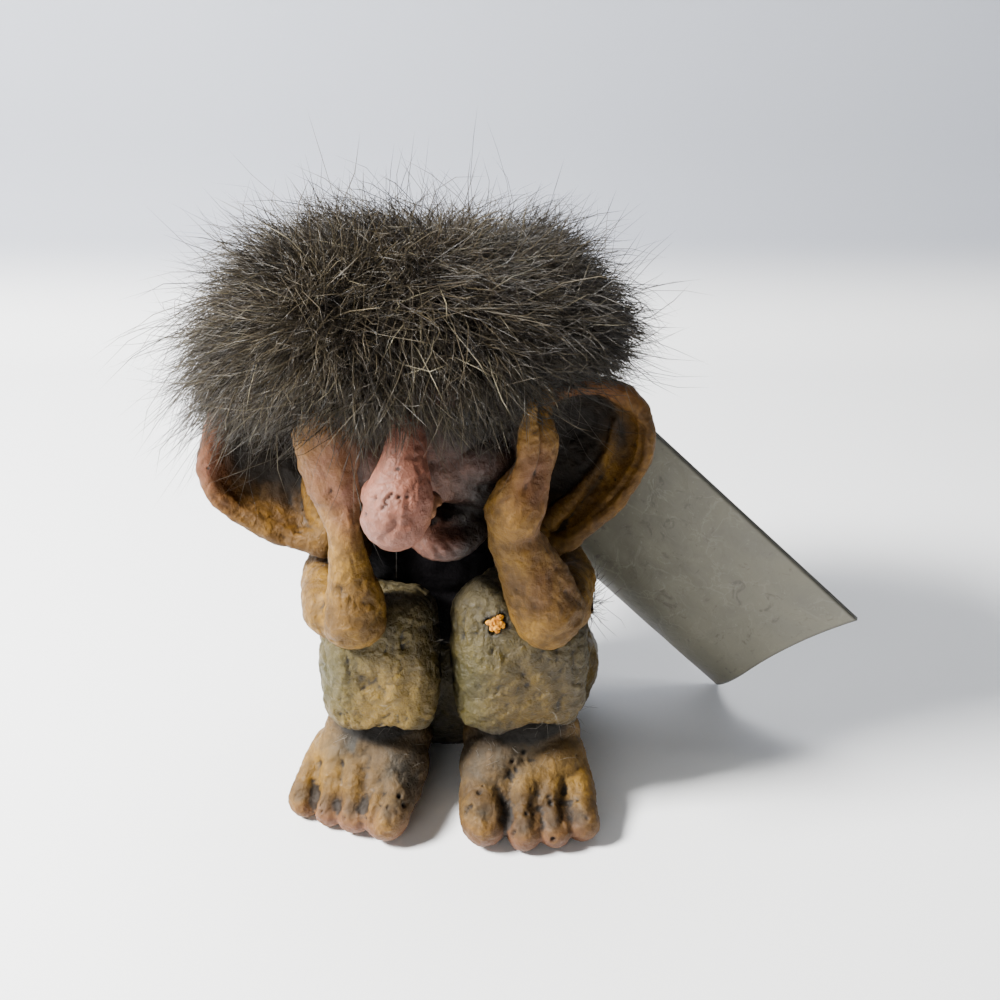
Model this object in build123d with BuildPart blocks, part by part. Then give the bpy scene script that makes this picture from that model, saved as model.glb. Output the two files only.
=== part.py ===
from build123d import *
import math
import os

os.makedirs("parts", exist_ok=True)

# A squatting troll figure that props its head in its hands, with a card tag hung behind it.
# The ground is z = 0 and the figure faces -Y. Its own left is +X and its own right is -X.
# The origin is on the flat underside of the seat.

cut_over = 60.0
skin_wall = 1.6
foam_sides = 8
cloth_sides = 14
soft_gap = 0.3

# seat of the trousers
seat_wide = 55.0
seat_deep = 33.0
seat_high = 30.5
seat_side = 2.4
seat_shares = [
    (0.00, 0.61, 0),
    (0.18, 0.87, 0),
    (0.44, 1.00, 0),
    (0.70, 0.87, 0),
    (0.88, 0.62, 0),
    (1.00, 0.24, 0),
]

# hunched trunk, from inside the seat to inside the head
trunk_wide = 40.7
trunk_deep = 31.0
trunk_low = 16.0
trunk_high = 50.0
trunk_lean = 7.0
trunk_side = 0.5
trunk_back = 1.8
trunk_shares = [
    (0.00, 0.74, 0.05),
    (0.26, 0.98, 0.00),
    (0.54, 1.00, 0.05),
    (0.78, 0.74, 0.50),
    (1.00, 0.38, 1.00),
]

# trouser legs, shin upright and thigh back to the hip
leg_deep = 20.0
leg_forward = 21.0
hem_up = 14.5
right_leg_out = 10.8
left_leg_out = 13.2
right_leg_wide = 19.4
left_leg_wide = 23.0
right_leg_high = 29.5
left_leg_high = 32.0
hip_forward = -3.0
hip_up = 18.0
hip_out = 13.0
shin_shares = [
    (0.00, 0.97, 0.00),
    (0.22, 1.00, 0.00),
    (0.56, 0.99, 0.02),
    (0.80, 0.86, 0.06),
    (0.94, 0.57, 0.10),
    (1.00, 0.22, 0.12),
]
thigh_wide_share = 0.96
thigh_deep_share = 0.98
thigh_end_share = 0.62

# chip in the skin of the left knee, where the foam shows
chip_wide = 4.6
chip_deep = 3.6
chip_side = 3.9
chip_forward = 3.4
chip_shares = [
    (-0.50, 0.10),
    (-0.30, 0.44),
    (-0.04, 0.30),
    (0.22, 0.50),
    (0.50, 0.22),
    (0.34, -0.12),
    (0.48, -0.40),
    (0.10, -0.32),
    (-0.12, -0.50),
    (-0.36, -0.24),
]

# four-toed feet
foot_long = 29.5
foot_wide = 23.4
foot_high = 17.0
heel_behind = 9.5
ankle_forward = 18.5
foot_shift = 0.9
right_foot_splay = 15.0
left_foot_splay = 3.0
foot_shares = [
    (0.00, 0.34, 0.36),
    (0.14, 0.62, 0.84),
    (0.36, 0.78, 1.00),
    (0.56, 0.94, 0.72),
    (0.74, 0.98, 0.46),
    (0.84, 0.74, 0.26),
]
foot_core_share = 0.22
toe_wide = 5.9
toe_long = 12.5
toe_high = 6.6
toe_shares = [
    (-0.350, 0.790, 1.18),
    (-0.100, 0.815, 1.04),
    (0.140, 0.770, 0.98),
    (0.360, 0.690, 0.92),
]
toe_lift_share = 0.30
toe_swell_shares = [(-0.40, 0.80), (0.10, 0.98), (0.36, 0.90), (0.50, 0.52)]
toe_sides = 10

# forearms that stand on the knees
elbow_forward = 27.0
right_elbow_out = 14.5
left_elbow_out = 18.3
elbow_sink = 8.4
left_elbow_drop = 2.4
forearm_wide = 15.4
forearm_deep = 14.0
wrist_up = 60.0
wrist_forward = 26.8
right_wrist_out = 13.8
left_wrist_out = 10.8
wrist_wide = 7.8
forearm_shares = [
    (0.00, 0.26),
    (0.08, 0.70),
    (0.26, 1.00),
    (0.52, 0.86),
    (0.78, 0.60),
    (1.00, 0.52),
]

# upper arms, shoulder to elbow
shoulder_up = 48.5
shoulder_out = 13.0
shoulder_forward = -1.5
arm_bow = 4.6
arm_thick = 14.2
arm_shares = [
    (0.00, 0.0, 1.00),
    (0.36, 1.0, 1.02),
    (0.72, 0.8, 0.94),
    (1.00, 0.0, 0.72),
]

# hands, laid against the temples
hand_up = 75.0
right_hand_out = 17.4
left_hand_out = 16.0
hand_forward = 20.0
palm_wide = 12.6
palm_thick = 6.8
right_palm_turn = -35.0
left_palm_turn = 72.0
palm_shares = [
    (0.00, 0.74),
    (0.30, 0.90),
    (0.66, 1.00),
    (1.00, 0.82),
]
finger_thick = 4.2
finger_long = 8.5
finger_shares = [-0.32, 0.0, 0.32]
fingertip_share = 0.33
thumb_thick = 4.6
thumb_long = 9.5
thumb_bend_share = 0.67
thumb_tip_share = 0.25
finger_sides = 8

# head
head_wide = 34.4
head_deep = 38.0
head_high = 46.5
chin_up = 49.3
head_side = -1.0
head_forward = 7.0
head_lean = 17.0
head_sides = 18
head_shares = [
    (0.00, 0.24, 0.16, 0.82),
    (0.08, 0.48, 0.34, 0.66),
    (0.22, 0.72, 0.62, 0.44),
    (0.40, 0.90, 0.87, 0.14),
    (0.62, 1.00, 1.00, 0.00),
    (0.82, 0.88, 0.88, 0.02),
    (0.94, 0.58, 0.58, 0.02),
    (1.00, 0.24, 0.24, 0.02),
]

# foam core of the head: level from the widest part, and width and depth of the head there
head_core_shares = [
    (-0.17, 0.67, 0.50),
    (0.00, 0.77, 0.62),
    (0.25, 0.40, 0.34),
]

# flat-backed bead eyes, under the fringe
eye_across = 5.4
eye_apart = 13.0
eye_up = 78.5
eye_forward = 25.0
eye_deep = 3.0

# long nose and mouth
nose_root_up = 79.5
nose_root_forward = 24.5
nose_side = -4.4
nose_reach = 11.0
nose_drop = 12.4
nose_lean = 1.2
nose_bulb_thick = 12.4
nose_shares = [
    (0.00, 0.00, 0.00, 0.45),
    (0.36, 0.28, 0.20, 0.54),
    (0.66, 0.62, 0.55, 0.74),
    (0.86, 0.90, 0.85, 1.00),
    (1.02, 1.08, 1.00, 0.78),
    (1.10, 1.18, 1.05, 0.26),
]
nostril_thick = 5.4
nostril_out_share = 0.40
nostril_back_share = 0.34
wing_backs = [-0.70, -0.10, 0.60]
wing_sizes = [0.50, 1.00, 0.90]
mouth_wide = 10.5
mouth_high = 3.2
mouth_up = 59.6
mouth_side = 1.2
mouth_shares = [(-0.50, 0.30), (-0.26, 0.88), (0.0, 1.00), (0.26, 0.88), (0.50, 0.30)]
lip_thick = 4.6
lip_forward = 25.6

# ear bowls
right_ear_wide = 26.0
right_ear_high = 33.0
left_ear_wide = 23.4
left_ear_high = 33.5
right_ear_out = 28.4
left_ear_out = 23.6
ear_up = 62.0
ear_deep = 8.0
ear_forward = 12.0
ear_wall = 2.2
right_ear_tilt = 30.0
left_ear_tilt = 18.0
ear_turn = 8.0
ear_root_thick = 8.0
ear_root_sides = 8
ear_room_shares = [(-1.20, 1.00), (0.16, 1.00), (0.60, 0.90), (1.00, 0.62), (1.20, 0.30)]
fold_thick = 2.8
fold_shares = [
    (-0.04, 0.34, 0.46),
    (0.14, 0.12, 0.66),
    (0.12, -0.12, 0.66),
    (-0.04, -0.34, 0.46),
]

# hair: a sewn backing on the skull that carries the pile
backing_thick = 1.0
hairline_front_up = 84.0
hairline_back_up = 58.0
right_lobe_wide = 45.0
left_lobe_wide = 44.0
lobe_deep = 52.0
lobe_high = 39.0
lobe_up = 86.0
right_lobe_out = 20.0
left_lobe_out = 13.6
lobe_forward = 5.5
parting_side = -2.6
fringe_wide = 35.0
fringe_deep = 15.0
fringe_high = 21.0
fringe_up = 85.0
fringe_forward = 25.5
fringe_side = -3.0
mane_wide = 36.0
mane_deep = 22.0
mane_high = 44.0
mane_up = 67.0
mane_back = 14.5
mane_side = -3.5
hair_sides = 12
pile_shares = [
    (-0.50, 0.56),
    (-0.41, 0.84),
    (-0.20, 0.98),
    (0.08, 1.00),
    (0.29, 0.92),
    (0.43, 0.70),
    (0.50, 0.40),
]

# tail with its tuft, curled round the left hip
tail_thick = 4.6
tail_root_back = 13.0
tail_root_up = 7.0
tail_root_side = 4.0
tail_reach = 22.5
tail_climb = 17.0
tail_shares = [
    (0.00, 0.00, 0.00, 1.00),
    (0.31, 0.19, 0.06, 0.92),
    (0.69, 0.08, 0.27, 0.80),
    (0.955, -0.20, 0.59, 0.68),
    (1.04, -0.50, 1.00, 0.56),
]
tuft_long = 14.0
tuft_thick = 8.0
tuft_sides = 8
tuft_shares = [(-0.30, 0.40), (-0.10, 0.80), (0.20, 1.00), (0.50, 0.72), (0.70, 0.24)]

# card tag of two leaves, bowed across its width, with a string hole in its top corner
tag_long = 58.0
tag_flat_wide = 26.0
tag_bow_radius = 16.0
tag_bow_turn = 58.0
leaf_thick = 0.45
tag_hole = 3.0
tag_hole_in = 5.0
tag_corner_side = 77.0
tag_corner_forward = 9.4
tag_corner_up = 29.5
tag_heading = 166.0
tag_slope = 40.2
tag_roll = 81.1


def oval(place, facing, half_wide, half_deep, guide=Vector(1, 0, 0)):
    """A flat oval at a place, square to the limb that runs through it."""
    facing = facing.normalized()
    across = (guide - facing * facing.dot(guide)).normalized()
    with BuildSketch(Plane(origin=place, x_dir=across, z_dir=facing)) as section:
        Ellipse(half_wide, half_deep)
    return section.sketch.face()


def limb(places, half_sizes, guide=Vector(1, 0, 0)):
    """A smooth form that swells and tapers through ovals set square to a path."""
    sections = []
    last = len(places) - 1
    for step, (place, (half_wide, half_deep)) in enumerate(zip(places, half_sizes)):
        facing = places[min(step + 1, last)] - places[max(step - 1, 0)]
        sections.append(oval(place, facing, half_wide, half_deep, guide))
    with BuildPart() as form:
        loft(sections)
    return form.part


def egg(place, wide, deep, high, turn=(0, 0, 0)):
    """A smooth egg from its three full sizes."""
    with BuildPart() as form:
        Sphere(1)
        scale(by=(wide / 2, deep / 2, high / 2))
    return form.part.moved(Location(place, turn))


def ring(place, facing, half_wide, half_deep, sides, guide=Vector(1, 0, 0)):
    """The corners of a flat many-sided ring, the section of a plain form."""
    facing = facing.normalized()
    across = (guide - facing * facing.dot(guide)).normalized()
    beside = facing.cross(across)
    turns = [2 * math.pi * step / sides for step in range(sides)]
    return [
        place + across * half_wide * math.cos(turn) + beside * half_deep * math.sin(turn)
        for turn in turns
    ]


def flat_face(*corners):
    """A flat face between its corners."""
    return Face(Wire.make_polygon(corners))


def plain_form(places, half_sizes, facing, sides, guide=Vector(1, 0, 0)):
    """A form with flat sides through many-sided rings, which face one way or, for None, the path."""
    rings = []
    last = len(places) - 1
    for step, (place, (half_wide, half_deep)) in enumerate(zip(places, half_sizes)):
        ahead = facing or places[min(step + 1, last)] - places[max(step - 1, 0)]
        rings.append(ring(place, ahead, half_wide, half_deep, sides, guide))
    faces = [flat_face(*rings[0]), flat_face(*rings[-1])]
    for near, far in zip(rings, rings[1:]):
        for corner in range(sides):
            beside = (corner + 1) % sides
            faces.append(flat_face(near[corner], near[beside], far[beside]))
            faces.append(flat_face(near[corner], far[beside], far[corner]))
    with BuildPart() as form:
        add(Solid(Shell(faces)))
    return form.part


def stack(centre, low, high, half_wide, half_deep, lean, shares, sides, inset=0.0):
    """A plain form that rises through level rings and leans towards -Y."""
    places, halves = [], []
    for up_share, size_share, lean_share in shares:
        places.append(centre + Vector(0, -lean * lean_share, low + high * up_share))
        halves.append((half_wide * size_share - inset, half_deep * size_share - inset))
    return plain_form(places, halves, up, sides)


def pile(centre, wide, deep, high):
    """One mass of fur, with its dense outer shape."""
    places = [centre + up * high * up_share for up_share, _ in pile_shares]
    halves = [(wide / 2 * share, deep / 2 * share) for _, share in pile_shares]
    return plain_form(places, halves, up, hair_sides)


def without(form, *larger):
    """A form less the larger pieces that it meets."""
    with BuildPart() as rest:
        add(form)
        for piece in larger:
            add(piece, mode=Mode.SUBTRACT)
    with BuildPart() as kept:
        add(rest.part.solids().sort_by(SortBy.VOLUME)[-1])
    return kept.part


def finish(name, part):
    """Label a finished piece and write it."""
    part.label = name
    export_step(part, f"parts/{name}.step")


up = Vector(0, 0, 1)
sides = {"right": -1, "left": 1}

# seat, flat where it stands on the ground
seat_centre = Vector(seat_side, 0, 0)
seat_sizes = (0, seat_high, seat_wide / 2, seat_deep / 2, 0)
trouser_seat = stack(seat_centre, *seat_sizes, seat_shares, cloth_sides)
finish("trouser_seat", trouser_seat)

# trunk skin over its foam
trunk_centre = Vector(trunk_side, trunk_back, 0)
trunk_sizes = (trunk_low, trunk_high, trunk_wide / 2, trunk_deep / 2, trunk_lean)
trunk_whole = stack(trunk_centre, *trunk_sizes, trunk_shares, cloth_sides)
with BuildPart() as trunk_foam:
    add(stack(trunk_centre, *trunk_sizes, trunk_shares[1:4], foam_sides, 2 * skin_wall))
    add(trouser_seat, mode=Mode.SUBTRACT)
with BuildPart() as trunk_skin:
    add(trunk_whole)
    add(trouser_seat, mode=Mode.SUBTRACT)
    add(trunk_foam.part, mode=Mode.SUBTRACT)
finish("trunk_skin", trunk_skin.part)
finish("trunk_foam", trunk_foam.part)

# trouser legs: an upright shin and a thigh that runs back to the hip, skin over foam
leg_out = {"right": right_leg_out, "left": left_leg_out}
leg_wide = {"right": right_leg_wide, "left": left_leg_wide}
leg_high = {"right": right_leg_high, "left": left_leg_high}


def shin_form(side, sections, form_sides, inset=0.0):
    """The upright part of a trouser leg, or with an inset the foam inside it."""
    centre = Vector(sides[side] * leg_out[side], -leg_forward, 0)
    half_wide, half_deep = leg_wide[side] / 2, leg_deep / 2
    sizes = (hem_up + inset / 2, leg_high[side] - inset, half_wide, half_deep, leg_deep)
    return stack(centre, *sizes, sections, form_sides, inset)


def thigh_form(side):
    """The part of a trouser leg from the hip to the knee."""
    knee_up = hem_up + leg_high[side] * thigh_end_share
    knee = Vector(sides[side] * leg_out[side], -leg_forward, knee_up)
    hip = Vector(sides[side] * hip_out, -hip_forward, hip_up)
    half_wide = leg_wide[side] / 2 * thigh_wide_share
    half_sizes = [(half_wide, leg_deep / 2 * thigh_deep_share)] * 2
    return plain_form([hip, knee], half_sizes, knee - hip, cloth_sides)


legs, leg_foams = {}, {}
for side in sides:
    with BuildPart() as leg_whole:
        add(shin_form(side, shin_shares, cloth_sides))
        add(thigh_form(side))
    legs[side] = without(leg_whole.part, trouser_seat, trunk_whole)
    leg_foams[side] = shin_form(side, shin_shares[:-1], foam_sides, 2 * skin_wall)

# the chip lies on the front of the left knee's crown
chip_place = Vector(
    left_leg_out - chip_side, -leg_forward - chip_forward, hem_up + left_leg_high - skin_wall
)
chip_facing = Vector(0, -chip_forward, leg_forward - chip_forward)
with BuildPart() as chip:
    with BuildSketch(Plane(origin=chip_place, x_dir=(1, 0, 0), z_dir=chip_facing)):
        with BuildLine():
            outline = [(chip_wide * across, chip_deep * along) for across, along in chip_shares]
            Polyline(*outline, close=True)
        make_face()
    extrude(amount=3 * skin_wall, both=True)

for side in sides:
    with BuildPart() as leg_skin:
        add(legs[side])
        add(leg_foams[side], mode=Mode.SUBTRACT)
        if side == "left":
            add(chip.part, mode=Mode.SUBTRACT)
    with BuildPart() as leg_foam:
        add(leg_foams[side])
    finish(f"{side}_trouser_leg", leg_skin.part)
    finish(f"{side}_leg_foam", leg_foam.part)

# feet, made with the ankle over the origin and then set under the shins
foot_splay = {"right": right_foot_splay, "left": left_foot_splay}


def toe_form(place, size_share):
    """One blunt toe that points to -Y."""
    places, halves = [], []
    for along_share, swell_share in toe_swell_shares:
        places.append(place + Vector(0, -toe_long * along_share, 0))
        swell = size_share * swell_share / 2
        halves.append((toe_wide * swell, toe_high * swell))
    return plain_form(places, halves, Vector(0, -1, 0), toe_sides)


def foot_form(side):
    """One foot with its four toes, the big toe on the inner side, flat on the ground."""
    sections = []
    for along_share, wide_share, high_share in foot_shares:
        core = foot_high * foot_core_share * high_share
        place = Vector(0, heel_behind - foot_long * along_share, core)
        half_high = foot_high * high_share - core
        sections.append(oval(place, Vector(0, -1, 0), foot_wide / 2 * wide_share, half_high))
    with BuildPart() as form:
        loft(sections)
        for across_share, along_share, size_share in toe_shares:
            place = Vector(
                sides[side] * foot_wide * across_share,
                heel_behind - foot_long * along_share,
                toe_high * toe_lift_share * size_share,
            )
            add(toe_form(place, size_share))
        split(bisect_by=Plane.XY, keep=Keep.TOP)
    ankle = Vector(sides[side] * (leg_out[side] + foot_shift), -ankle_forward, 0)
    return form.part.moved(Location(ankle, (0, 0, sides[side] * foot_splay[side])))


for side in sides:
    foot = without(foot_form(side), legs[side], leg_foams[side], trouser_seat)
    finish(f"{side}_foot", foot)

# head: skin over foam, with an open mouth and eye sockets
head_centre = Vector(head_side, -head_forward, 0)
head_places, head_halves = [], []
for up_share, wide_share, deep_share, lean_share in head_shares:
    forward = Vector(0, -head_lean * lean_share, chin_up + head_high * up_share)
    head_places.append(head_centre + forward)
    head_halves.append((head_wide / 2 * wide_share, head_deep / 2 * deep_share))
mouth_place = Vector(mouth_side, -lip_forward, mouth_up)
mouth_places = [mouth_place + Vector(mouth_wide * share, 0, 0) for share, _ in mouth_shares]
mouth_halves = [(mouth_high / 2 * share, mouth_wide / 2 * share) for _, share in mouth_shares]
mouth = plain_form(mouth_places, mouth_halves, Vector(1, 0, 0), finger_sides, up)
with BuildPart() as head_outside:
    add(plain_form(head_places, head_halves, up, head_sides))
    add(mouth, mode=Mode.SUBTRACT)
head_solid = without(head_outside.part, trunk_whole)
core_places, core_halves = [], []
for level_share, wide_share, deep_share in head_core_shares:
    core_places.append(head_places[4] + up * head_high * level_share)
    core_halves.append((head_wide / 2 * wide_share, head_deep / 2 * deep_share))
head_foam = plain_form(core_places, core_halves, up, foam_sides)
eyes = {}
for side in sides:
    eye_place = Vector(head_side + sides[side] * eye_apart / 2, -eye_forward, eye_up)
    with BuildPart() as eye:
        with BuildSketch(Plane(origin=eye_place, x_dir=(1, 0, 0), z_dir=(0, -1, 0))):
            Circle(eye_across / 2)
        extrude(amount=eye_deep / 2, both=True)
        front = eye.faces().sort_by(Axis.Y)[0]
        chamfer(front.edges(), length=eye_deep / 3)
    eyes[side] = eye.part
with BuildPart() as head_skin:
    add(head_solid)
    add(head_foam, mode=Mode.SUBTRACT)
    for side in sides:
        add(eyes[side], mode=Mode.SUBTRACT)
finish("head_skin", head_skin.part)
finish("head_foam", head_foam)
for side in sides:
    finish(f"{side}_eye", eyes[side])

# forearms stand on the knees and narrow to the wrists
elbow_out = {"right": right_elbow_out, "left": left_elbow_out}
elbow_drop = {"right": 0, "left": left_elbow_drop}
wrist_out = {"right": right_wrist_out, "left": left_wrist_out}


def elbow_place(side):
    """The lowest point of an elbow, pressed into the top of its knee."""
    low = hem_up + leg_high[side] - elbow_sink - elbow_drop[side]
    return Vector(sides[side] * elbow_out[side], -elbow_forward, low)


def wrist_place(side):
    """The middle of a wrist."""
    return Vector(sides[side] * wrist_out[side], -wrist_forward, wrist_up)


def forearm_form(side):
    """A forearm, full at the elbow and narrow at the wrist."""
    elbow, wrist = elbow_place(side), wrist_place(side)
    places = [elbow + (wrist - elbow) * along_share for along_share, _ in forearm_shares]
    halves = [
        (forearm_wide / 2 * share, forearm_deep / 2 * share) for _, share in forearm_shares
    ]
    return limb(places, halves)


def upper_arm_form(side):
    """An upper arm that bows outwards from the shoulder down to the elbow."""
    shoulder = Vector(sides[side] * shoulder_out, -shoulder_forward, shoulder_up)
    elbow = elbow_place(side) + up * forearm_wide / 2
    places, halves = [], []
    for along_share, bow_share, size_share in arm_shares:
        bow = Vector(sides[side] * arm_bow * bow_share, 0, 0)
        places.append(shoulder + (elbow - shoulder) * along_share + bow)
        halves.append((arm_thick / 2 * size_share, arm_thick / 2 * size_share))
    return plain_form(places, halves, elbow - shoulder, cloth_sides)


arms = {}
for side in sides:
    forearm = without(forearm_form(side), legs[side], leg_foams[side], head_solid)
    finish(f"{side}_forearm", forearm)
    upper_arm = without(upper_arm_form(side), trunk_whole, legs[side], forearm, head_solid)
    finish(f"{side}_upper_arm", upper_arm)
    arms[side] = (forearm, upper_arm)

# hands, a palm with three fingers and a thumb
hand_out = {"right": right_hand_out, "left": left_hand_out}
palm_turn = {"right": right_palm_turn, "left": left_palm_turn}


def hand_form(side):
    """A hand that props the head, from the wrist to the fingertips in the hair."""
    wrist = wrist_place(side)
    top = Vector(sides[side] * hand_out[side], -hand_forward, hand_up)
    reach = top - wrist
    turn = math.radians(palm_turn[side])
    across = Vector(math.cos(turn), math.sin(turn), 0)
    places, halves = [], []
    for along_share, size_share in palm_shares:
        places.append(wrist + reach * along_share)
        halves.append((palm_wide / 2 * size_share, palm_thick / 2 * size_share))
    along = reach.normalized()
    with BuildPart() as form:
        add(plain_form(places, halves, along, cloth_sides, across))
        for share in finger_shares:
            root = top + across * palm_wide * share
            tip = root + along * finger_long / 2 + across * finger_thick * share
            half, fine = finger_thick / 2, finger_thick * fingertip_share
            finger_places = [root - along * half, root, tip, tip + along * half]
            finger_halves = [(half, half), (half, half), (half, half), (fine, fine)]
            add(plain_form(finger_places, finger_halves, along, finger_sides, across))
        thumb = wrist + reach / 2 + across * sides[side] * palm_wide / 2
        half, fine = thumb_thick / 2, thumb_thick * thumb_tip_share
        thumb_bend = thumb + along * thumb_long * thumb_bend_share
        thumb_places = [thumb, thumb_bend, thumb + along * thumb_long]
        thumb_halves = [(half, half), (half, half), (fine, fine)]
        add(plain_form(thumb_places, thumb_halves, along, finger_sides, across))
    return form.part


hands = {}
for side in sides:
    hands[side] = without(hand_form(side), *arms[side], head_solid)
    finish(f"{side}_hand", hands[side])

# long nose with its nostril wings, and the lower lip
nose_places, nose_halves = [], []
for down_share, reach_share, lean_share, size_share in nose_shares:
    nose_places.append(
        Vector(
            nose_side - nose_lean * lean_share,
            -nose_root_forward - nose_reach * reach_share,
            nose_root_up - nose_drop * down_share,
        )
    )
    nose_half = nose_bulb_thick / 2 * size_share
    nose_halves.append((nose_half, nose_half))
bulb_place = nose_places[3]
with BuildPart() as nose_whole:
    add(limb(nose_places, nose_halves))
    for side in sides:
        wing = Vector(
            sides[side] * nose_bulb_thick * nostril_out_share,
            nose_bulb_thick * nostril_back_share,
            -nose_bulb_thick * nostril_back_share / 2,
        )
        wing_places = [bulb_place + wing + Vector(0, nostril_thick * back, 0) for back in wing_backs]
        wing_halves = [(nostril_thick / 2 * share, nostril_thick / 2 * share) for share in wing_sizes]
        add(plain_form(wing_places, wing_halves, Vector(0, 1, 0), finger_sides))
nose = without(nose_whole.part, head_solid, *hands.values(), *eyes.values())
finish("nose", nose)
lip_place = mouth_place - up * (mouth_high + lip_thick) / 2
lip_places = [lip_place + Vector(mouth_wide * share, 0, 0) for share, _ in mouth_shares]
lip_halves = [(lip_thick / 2 * share, lip_thick * share) for _, share in mouth_shares]
lip_whole = plain_form(lip_places, lip_halves, Vector(1, 0, 0), toe_sides, up)
lower_lip = without(lip_whole, head_solid, nose)
finish("lower_lip", lower_lip)

# ears: a deep bowl that opens forwards, with a fold down its middle
ear_wide = {"right": right_ear_wide, "left": left_ear_wide}
ear_high = {"right": right_ear_high, "left": left_ear_high}
ear_out = {"right": right_ear_out, "left": left_ear_out}
ear_tilt = {"right": right_ear_tilt, "left": left_ear_tilt}


ear_place = {}
for side in sides:
    place = Vector(sides[side] * ear_out[side], -ear_forward, ear_up)
    turn = (0, sides[side] * ear_tilt[side], -sides[side] * ear_turn)
    ear_place[side] = Location(place, turn)


def ear_root(side):
    """The stalk behind the bowl that joins an ear to the head."""
    places = [Vector(0, ear_deep, 0), Vector(-sides[side] * ear_wide[side], ear_deep, 0)]
    halves = [(ear_root_thick, ear_root_thick / 2)] * 2
    return plain_form(places, halves, Vector(1, 0, 0), ear_root_sides, up)


def ear_form(side):
    """One ear, made at the origin with its opening to -Y, then tilted and placed."""
    wide, high = ear_wide[side], ear_high[side]
    inner_wide, inner_high = wide - 2 * ear_wall, high - 2 * ear_wall
    inner = egg(Vector(0, 0, 0), inner_wide, 2 * (ear_deep - ear_wall), inner_high)
    fold_places = [
        Vector(sides[side] * wide * across, ear_deep * back, high * rise)
        for across, rise, back in fold_shares
    ]
    fold_halves = [(fold_thick / 2, fold_thick / 2)] * len(fold_places)
    with BuildPart() as form:
        add(egg(Vector(0, 0, 0), wide, 2 * ear_deep, high))
        add(ear_root(side))
        add(inner, mode=Mode.SUBTRACT)
        split(bisect_by=Plane.XZ, keep=Keep.BOTTOM)
        add(plain_form(fold_places, fold_halves, up, ear_root_sides))
    return form.part.moved(ear_place[side])


def ear_room(side):
    """The room that the fur leaves round an ear and in front of its opening."""
    fit = math.cos(math.pi / hair_sides)
    half_wide = (ear_wide[side] / 2 + soft_gap) / fit
    half_high = (ear_high[side] / 2 + soft_gap) / fit
    places = [Vector(0, ear_deep * back, 0) for back, _ in ear_room_shares]
    halves = [(half_wide * share, half_high * share) for _, share in ear_room_shares]
    with BuildPart() as room:
        add(plain_form(places, halves, Vector(0, 1, 0), hair_sides))
        add(ear_root(side))
    return room.part.moved(ear_place[side])


ears = {}
for side in sides:
    ears[side] = without(ear_form(side), head_solid, trunk_whole, hands[side], *arms[side])
    finish(f"{side}_ear", ears[side])

# wig: the backing wraps the skull above a slanted hairline and carries four masses of fur
wrap_places = [*head_places, head_places[-1] + up * backing_thick]
wrap_halves = [
    (half_wide + backing_thick, half_deep + backing_thick)
    for half_wide, half_deep in [*head_halves, head_halves[-1]]
]
head_wrap = plain_form(wrap_places, wrap_halves, up, head_sides)
hairline_drop = hairline_front_up - hairline_back_up
hairline = Plane(
    origin=(head_side, -head_forward, (hairline_front_up + hairline_back_up) / 2),
    x_dir=(1, 0, 0),
    z_dir=(0, hairline_drop, head_deep),
)
with BuildPart() as backing_whole:
    add(head_wrap)
    split(bisect_by=hairline, keep=Keep.TOP)
wig_backing = without(backing_whole.part, head_solid, trunk_whole, *ears.values(), *hands.values())
finish("wig_backing", wig_backing)

lobe_centre = {
    "right": Vector(-right_lobe_out, -lobe_forward, lobe_up),
    "left": Vector(left_lobe_out, -lobe_forward, lobe_up),
}
lobe_wide = {"right": right_lobe_wide, "left": left_lobe_wide}
rooms = [ear_room(side) for side in sides]
under = [head_wrap, nose, *eyes.values(), *rooms, *hands.values(), trunk_whole]
parting = Plane(origin=(parting_side, 0, 0), x_dir=(0, 1, 0), z_dir=(1, 0, 0))
parting_keep = {"right": Keep.BOTTOM, "left": Keep.TOP}
hair = {}
for side in sides:
    with BuildPart() as lobe:
        add(pile(lobe_centre[side], lobe_wide[side], lobe_deep, lobe_high))
        split(bisect_by=parting, keep=parting_keep[side])
    hair[side] = without(lobe.part, *under)
fringe_centre = Vector(fringe_side, -fringe_forward, fringe_up)
hair["fringe"] = without(
    pile(fringe_centre, fringe_wide, fringe_deep, fringe_high),
    *under,
    nose,
    hair["right"],
    hair["left"],
)
mane_centre = Vector(mane_side, mane_back, mane_up)
hair["mane"] = without(
    pile(mane_centre, mane_wide, mane_deep, mane_high), *under, hair["right"], hair["left"]
)
for name, mass in hair.items():
    finish(f"hair_{name}", mass)

# tail, curled round the left hip, with its tuft
tail_root = Vector(tail_root_side, tail_root_back, tail_root_up)
tail_places, tail_halves = [], []
for across_share, back_share, up_share, size_share in tail_shares:
    run = Vector(tail_reach * across_share, tail_reach * back_share, tail_climb * up_share)
    tail_places.append(tail_root + run)
    tail_halves.append((tail_thick / 2 * size_share, tail_thick / 2 * size_share))
tail_whole = plain_form(tail_places, tail_halves, None, tuft_sides, Vector(0, 1, 0))
tail = without(tail_whole, trouser_seat, trunk_whole)
finish("tail", tail)
tuft_places = [tail_places[-1] + up * tuft_long * up_share for up_share, _ in tuft_shares]
tuft_halves = [(tuft_thick / 2 * share, tuft_thick / 2 * share) for _, share in tuft_shares]
tail_tuft = without(
    plain_form(tuft_places, tuft_halves, up, tuft_sides),
    tail,
    trouser_seat,
    trunk_whole,
    legs["left"],
    *arms["left"],
)
finish("tail_tuft", tail_tuft)

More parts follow.
